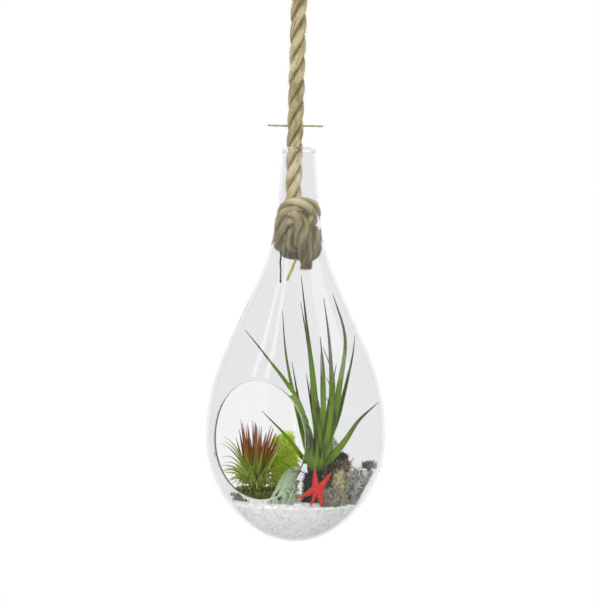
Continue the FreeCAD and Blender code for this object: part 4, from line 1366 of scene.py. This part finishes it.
    def add_steered_leaf(self, draft: Draft, root: Vector, lift: float, width: float,
                         course: Sequence[Sequence[float]], tint: float, thickness: float) -> None:
        """Add a leaf whose channel opens toward the viewer and away from its own lean.

        Args:
            draft: The piece that takes it.
            root: The plant's root.
            lift: How far above the root it starts.
            width: Its greatest width.
            course: Steps from the plant's root.
            tint: Its colour shift.
            thickness: Its thickness.
        """
        points = steps(root, course)
        points[0] = root + Vector((0, 0, lift))
        lean = points[-1] - points[0]
        sideways = Vector((lean.x, lean.y, 0))
        facing = spot(0, 1, 0.25) - sideways * (0.5 / max(sideways.length, 1.0))
        draft.add_leaf(points, width, thickness, facing.normalized(), tint)

    def add_crown(self, draft: Draft, root: Vector, radius: float, height: float) -> None:
        """Add the short stock that the leaves grow from."""
        shape = ((0.0, 0.72), (0.2, 0.9), (0.45, 1.0), (0.7, 0.85), (0.9, 0.55), (1.0, 0.3))

        def girth(share: float) -> float:
            """Radius of the stock at a share of its height."""
            return radius * value_at(shape, share)

        line = [root + Vector((0, 0, height * n / 12)) for n in range(13)]
        draft.add_tube(line, girth, 20, 0.5,
                       lambda length, angle: 1 + 0.07 * math.cos(7 * angle + length * 0.2))

    def build_small_plant(self) -> None:
        """The small air plant: an upright red-tipped tuft among arching green leaves."""
        upright, low = Draft(), Draft()
        chance = random.Random(41)
        root = spot(*SMALL_ROOT)
        for width, *course in SMALL_LEAVES:
            tip = course[-1]
            rises = tip[2] > 26 and tip[1] < 10
            for copy in range(6 if rises else 3):
                spread = 0.0 if copy == 0 else 0.16 * tip[2] + 1.5
                end = (chance.uniform(-spread, spread) * 0.5, chance.uniform(-spread, spread))
                cut = 1.0 if copy == 0 else chance.uniform(0.7, 1.0)
                count = len(course)
                bent = [(right + end[0] * n / count, toward + end[1] * n / count, up * cut)
                        for n, (right, toward, up) in enumerate(course, start=1)]
                self.add_steered_leaf(upright if rises else low, root, SMALL_LIFT,
                                      width * (1.3 if rises else 0.9), bent,
                                      chance.random(), 0.6)
        for number in range(ARCHING_LEAVES):
            out = level_way(math.tau * number / ARCHING_LEAVES * 5 + chance.uniform(-0.2, 0.2))
            foot = root + out * chance.uniform(1.0, 3.4) + Vector((0, 0, 0.4))
            reach, rise = chance.uniform(9, 19), chance.uniform(3, 15)
            low.add_leaf([foot, foot + out * reach * 0.5 + Vector((0, 0, rise)),
                          foot + out * reach + Vector((0, 0, rise * chance.uniform(-0.2, 0.9)))],
                         3.0, 0.5, Vector((0, 0, 1)) - out * 0.4, chance.random(), 0.2, 12)
        self.add_crown(low, root, 2.8, 7)
        upright.made("red_tipped_tuft", Dress.TIPPED_LEAF.material, "air_plant_tipped",
                     ["small_air_plant"])
        low.made("arching_leaves", Dress.FRESH_LEAF.material, "air_plant_tipped")

    def build_silver_plant(self) -> None:
        """The silvery plant whose broad blades hang over the gravel."""
        draft = Draft()
        chance = random.Random(51)
        head = spot(*SILVER_HEAD)
        for copy in range(3):
            for width, *course in SILVER_BLADES:
                shift = 0.0 if copy == 0 else chance.uniform(-2.4, 2.4)
                bent = [(right + shift * n, toward - 1.3 * copy, up)
                        for n, (right, toward, up) in enumerate(course, start=1)]
                draft.add_leaf(steps(head, bent), width * (0.9 if copy == 0 else 0.62), 0.7,
                               spot(-0.3, 1, 0.35).normalized(), chance.random(), 0.22, 20)
        draft.add_tube([head - spot(0, 0, 2.4), head, head + spot(0.5, 0, 2.6)],
                       lambda share: 3.1 - 1.6 * abs(share - 0.5), 14)
        draft.made("silver_blades", Dress.SILVER_LEAF.material, "air_plant_silver",
                   ["silver_air_plant"])

    def build_lump(self, lump: Lump) -> None:
        """Dress one lump of moss, lichen or bark.

        Args:
            lump: What it is made of.
        """
        draft = Draft()
        self.add_core(draft, lump.node, lump.swell, lump.grain, lump.shrink, lump.core_tint)
        for tufts in lump.tufts:
            self.add_tufts(draft, tufts.node or lump.node, tufts)
        low = min(point.z for point in draft.points)
        high = max(point.z for point in draft.points)
        # Darker towards the bottom: the tint is lowered by up to the set share at the lump's lowest
        # point.
        for number, point in enumerate(draft.points):
            draft.tints[number] -= lump.darkening_below * (high - point.z) / (high - low)
        draft.made(lump.name, lump.dress.material, lump.slot, [lump.node])

    def build_twigs(self) -> None:
        """The stem through the rope and the two bits under the knot, each a little crooked."""
        for name, node, dress, slot, radius, seed in (
                ("green_cross_stem", "cross_stem", Dress.DRY_STEM, "dry_stem", 0.75, 3),
                ("yellow_knot_stem", "knot_twig", Dress.YELLOW_STEM, "dry_stem", 1.1, 4),
                ("dark_knot_stem", "knot_fine_twig", Dress.BARK, "dark_bark", 0.75, 5)):
            surface = Surface(self.nodes[node], seed)
            points = sorted((p for triangle in surface.triangles for p in triangle[:3]),
                            key=lambda p: p.x if node == "cross_stem" else -p.z)
            first = sum(points[:60], Vector()) / 60
            last = sum(points[-60:], Vector()) / 60
            chance = random.Random(seed)
            line = [first.lerp(last, n / 5) + jitter(chance, 0.25) * (0 < n < 5)
                    for n in range(6)]
            draft = Draft()
            draft.add_tube(line_through(line, 30), lambda share: radius * (0.92 + 0.08 * math.cos(
                share * 40)), 12, 0.5)
            draft.made(name, dress.material, slot, [node])

    def build_star(self) -> None:
        """The red glazed star: rounded arms with a ridge along each."""
        draft = Draft()
        self.add_core(draft, "red_star", 0.12, 3.0, -0.35, 0.5, 0.7, 4)
        draft.made("glazed_star", Dress.RED_GLAZE.material, "red_ornament", ["red_star"])

    def build(self) -> None:
        """Make all of it."""
        self.build_tall_plant()
        self.build_small_plant()
        self.build_silver_plant()
        self.build_gravel()
        for lump in LUMPS:
            self.build_lump(lump)
        self.build_twigs()
        self.build_star()


LUMPS = (
    Lump("lime_moss_sprigs", "moss_clump", Dress.LIME_MOSS, "moss_lime", 1.6, 6.0, 2.2, 0.6,
         tufts=(Tufts(61, 900, 3.4, 4, 0.34), Tufts(71, 260, 6.5, 4, 0.38, 0.1, 1.0))),
    Lump("mat_moss_sprigs", "moss_mat", Dress.MAT_MOSS, "moss_brown", shrink=1.0,
         tufts=(Tufts(62, 700, 2.6, 4, 0.3),)),
    Lump("rough_bark_stump", "bark_stump", Dress.BARK, "dark_bark", 0.9, 2.2, 0.5,
         tufts=(Tufts(63, 360, 3.2, 3, 0.35, 0.0, 0.7),)),
    Lump("grey_lichen_crust", "grey_lichen", Dress.GREY_LICHEN, "lichen_grey", 1.2, 2.2, 1.2,
         tufts=(Tufts(64, 380, 1.9, 4, 0.42),)),
    Lump("tan_lichen_crust", "tan_lichen", Dress.TAN_LICHEN, "lichen_tan", 0.9, 1.8, 1.0,
         tufts=(Tufts(65, 420, 1.5, 4, 0.42),)),
    Lump("dried_moss_sprigs", "dried_moss", Dress.DRIED_MOSS, "moss_dried", 1.3, 3.0, 2.2,
         tufts=(Tufts(66, 420, 4.2, 4, 0.38, 0.2, 1.0), Tufts(76, 110, 8.0, 4, 0.42, 0.1, 1.1),
                Tufts(86, 160, 5.0, 4, 0.4, 0.1, 1.1, 0.9, "tan_lichen"),
                Tufts(87, 130, 5.0, 4, 0.4, 0.1, 1.1, 0.9, "white_lichen"))),
    Lump("cream_lichen_sprigs", "cream_lichen", Dress.CREAM_LICHEN, "lichen_cream", 1.0, 2.5, 1.8,
         tufts=(Tufts(67, 360, 3.2, 4, 0.4, 0.2, 1.0),)),
    Lump("white_lichen_branches", "white_lichen", Dress.WHITE_LICHEN, "lichen_white", 0.3, 1.5, 0.2,
         darkening_below=0.55, tufts=(Tufts(68, 420, 2.4, 3, 0.36, 0.2, 1.0, 0.3),
                            Tufts(78, 420, 5.5, 4, 0.42, 0.1, 1.1, 0.45))),
    # Painted shade: a dark slab laid under the lichen where shade falls on the gravel.
    Lump("painted_shade_slab", "slate_stone", Dress.SHADE_SLAB, "slate", 0.35, 3.5, 0.3),
    Lump("left_crinkled_bark", "left_bark_curl", Dress.BARK, "dark_bark", 1.1, 1.6, 0.2,
         tufts=(Tufts(79, 150, 4.6, 3, 0.6, 0.4, 1.6),)),
    Lump("right_crinkled_bark", "right_bark_curl", Dress.BARK, "dark_bark", 1.1, 1.6, 0.2,
         tufts=(Tufts(80, 150, 4.6, 3, 0.6, 0.4, 1.6),)))

GRAVEL_CHIPS = 4300
GRAVEL_CREST = 27.0
TALL_ROOT = (16.0, 0.0, 51.4)
TALL_LIFT = 8.8
YOUNG_LEAVES = 14
FOOT_LEAVES = 18
SMALL_ROOT = (-29.5, -8.0, 39.4)
SMALL_LIFT = 4.95
ARCHING_LEAVES = 64
SILVER_HEAD = (1.5, 8.5, 55.7)

# Leaves: width, then steps from the plant's root in right, toward and up
TALL_LEAVES = (
    (5.6, (-6.8, 4, 33.8), (-17.1, 4, 60.4), (-40.3, 4, 90.9), (-55.4, 2, 109.1)),
    (4.2, (-10.6, -4, 33.2), (-18.7, -6, 63.8), (-24.4, -8, 92.9), (-27.4, -8, 124.3)),
    (4.2, (-9.1, -6, 33.1), (-14.8, -10, 59.8), (-19.5, -13, 85.0)),
    (5.6, (0.1, 0, 33.5), (-2.7, 0, 71.7), (-8.5, 0, 113.7), (-13.2, 0, 151.1)),
    (4.6, (0.9, -4, 33.2), (-2.5, -6, 59.9), (-6.7, -8, 94.4), (-13.3, -9, 130.5)),
    (5.8, (4.4, 6, 45.3), (4.8, 8, 75.8), (1.8, 8, 104.7)),
    (4.0, (4.7, -6, 33.1), (3.6, -10, 63.6), (2.6, -13, 91.9)),
    (6.2, (8.5, 2, 29.8), (11.1, 4, 60.4), (9.1, 4, 98.5), (4.2, 2, 134.3)),
    (6.8, (10.7, 6, 33.9), (17.0, 8, 68.2), (20.8, 4, 103.8), (11.4, 0, 136.6)),
    (5.2, (13.8, -2, 37.2), (20.4, -4, 60.0), (26.8, -4, 89.1), (28.8, -4, 107.0)),
    (6.6, (9.4, 6, 11.5), (21.3, 10, 25.8), (31.7, 12, 41.8), (46.8, 10, 56.1)),
    (4.4, (-9.6, 8, 12.5), (-15.8, 16, 20.9), (-24.5, 20, 31.7), (-41.6, 21, 48.6)),
    (4.6, (-9.0, 5, 24.0), (-12.2, 9, 37.9), (-14.5, 10, 50.1)),
    (5.0, (6.0, -8, 30.0), (10.0, -12, 56.0), (15.0, -16, 84.0)),
)
SMALL_LEAVES = (
    (3.4, (-7.5, 1, 22), (-12.6, 3, 52.5)),
    (3.2, (-4.5, 0, 24), (-7.5, 0, 49.5)),
    (3.4, (-2.0, 1, 25), (-3.4, 3, 52.0)),
    (3.2, (0.0, -1, 25), (-0.8, -3, 48.5)),
    (3.2, (1.5, 2, 24), (1.6, 5, 47.5)),
    (3.4, (4.5, 1, 24), (10.8, 3, 48.5)),
    (3.0, (7.5, 3, 22), (14.6, 8, 42.5)),
    (3.0, (9.0, 6, 17), (15.5, 11, 30.0), (20.0, 14, 39.0)),
    (3.0, (-9.5, 4, 21), (-18.0, 8, 34.0), (-25.0, 11, 40.0)),
    (3.0, (-9.0, 5, 15), (-19.0, 8, 24.0), (-26.5, 8, 24.0)),
    (2.8, (-9.0, 8, 11), (-17.0, 11, 17.0), (-23.0, 12, 17.0)),
    (2.8, (-10.0, 1, 10), (-20.0, 1, 14.5), (-27.0, 0, 12.5)),
    (2.8, (-8.0, 9, 7), (-14.0, 16, 10.5), (-20.0, 20, 8.5)),
    (2.8, (-1.0, 9, 13), (-3.0, 17, 18.0), (-6.0, 23, 16.0)),
    (2.8, (5.0, 8, 12), (9.0, 15, 17.0), (12.0, 21, 16.0)),
    (2.8, (2.0, 7, 16), (4.0, 12, 27.0)),
    (2.8, (8.0, -4, 12), (14.0, -8, 20.0)),
    (2.8, (-2.0, -8, 14), (-5.0, -15, 24.0)),
    (2.8, (-9.0, -6, 12), (-16.0, -12, 18.0)),
    (2.8, (6.0, -8, 13), (10.0, -13, 24.0)),
)
SILVER_BLADES = (
    (6.5, (-9.0, 3, -6), (-21.0, 9, -26)),
    (7.0, (-6.0, 5, -6), (-16.5, 11, -26)),
    (7.0, (-3.5, 6, -7), (-11.5, 12, -26)),
    (6.5, (-1.5, 5, -8), (-6.5, 12, -26)),
    (6.0, (-1.0, 3, -10), (-3.0, 10, -26)),
)


def main() -> None:
    """Load the frame and dress it."""
    logging.basicConfig(level=logging.INFO, format="%(message)s")
    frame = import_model()
    Studio().build()
    HangingRope().build()
    BlownVessel().build()
    Planting(frame["nodes"]).build()


if __name__ == "__main__":
    main()
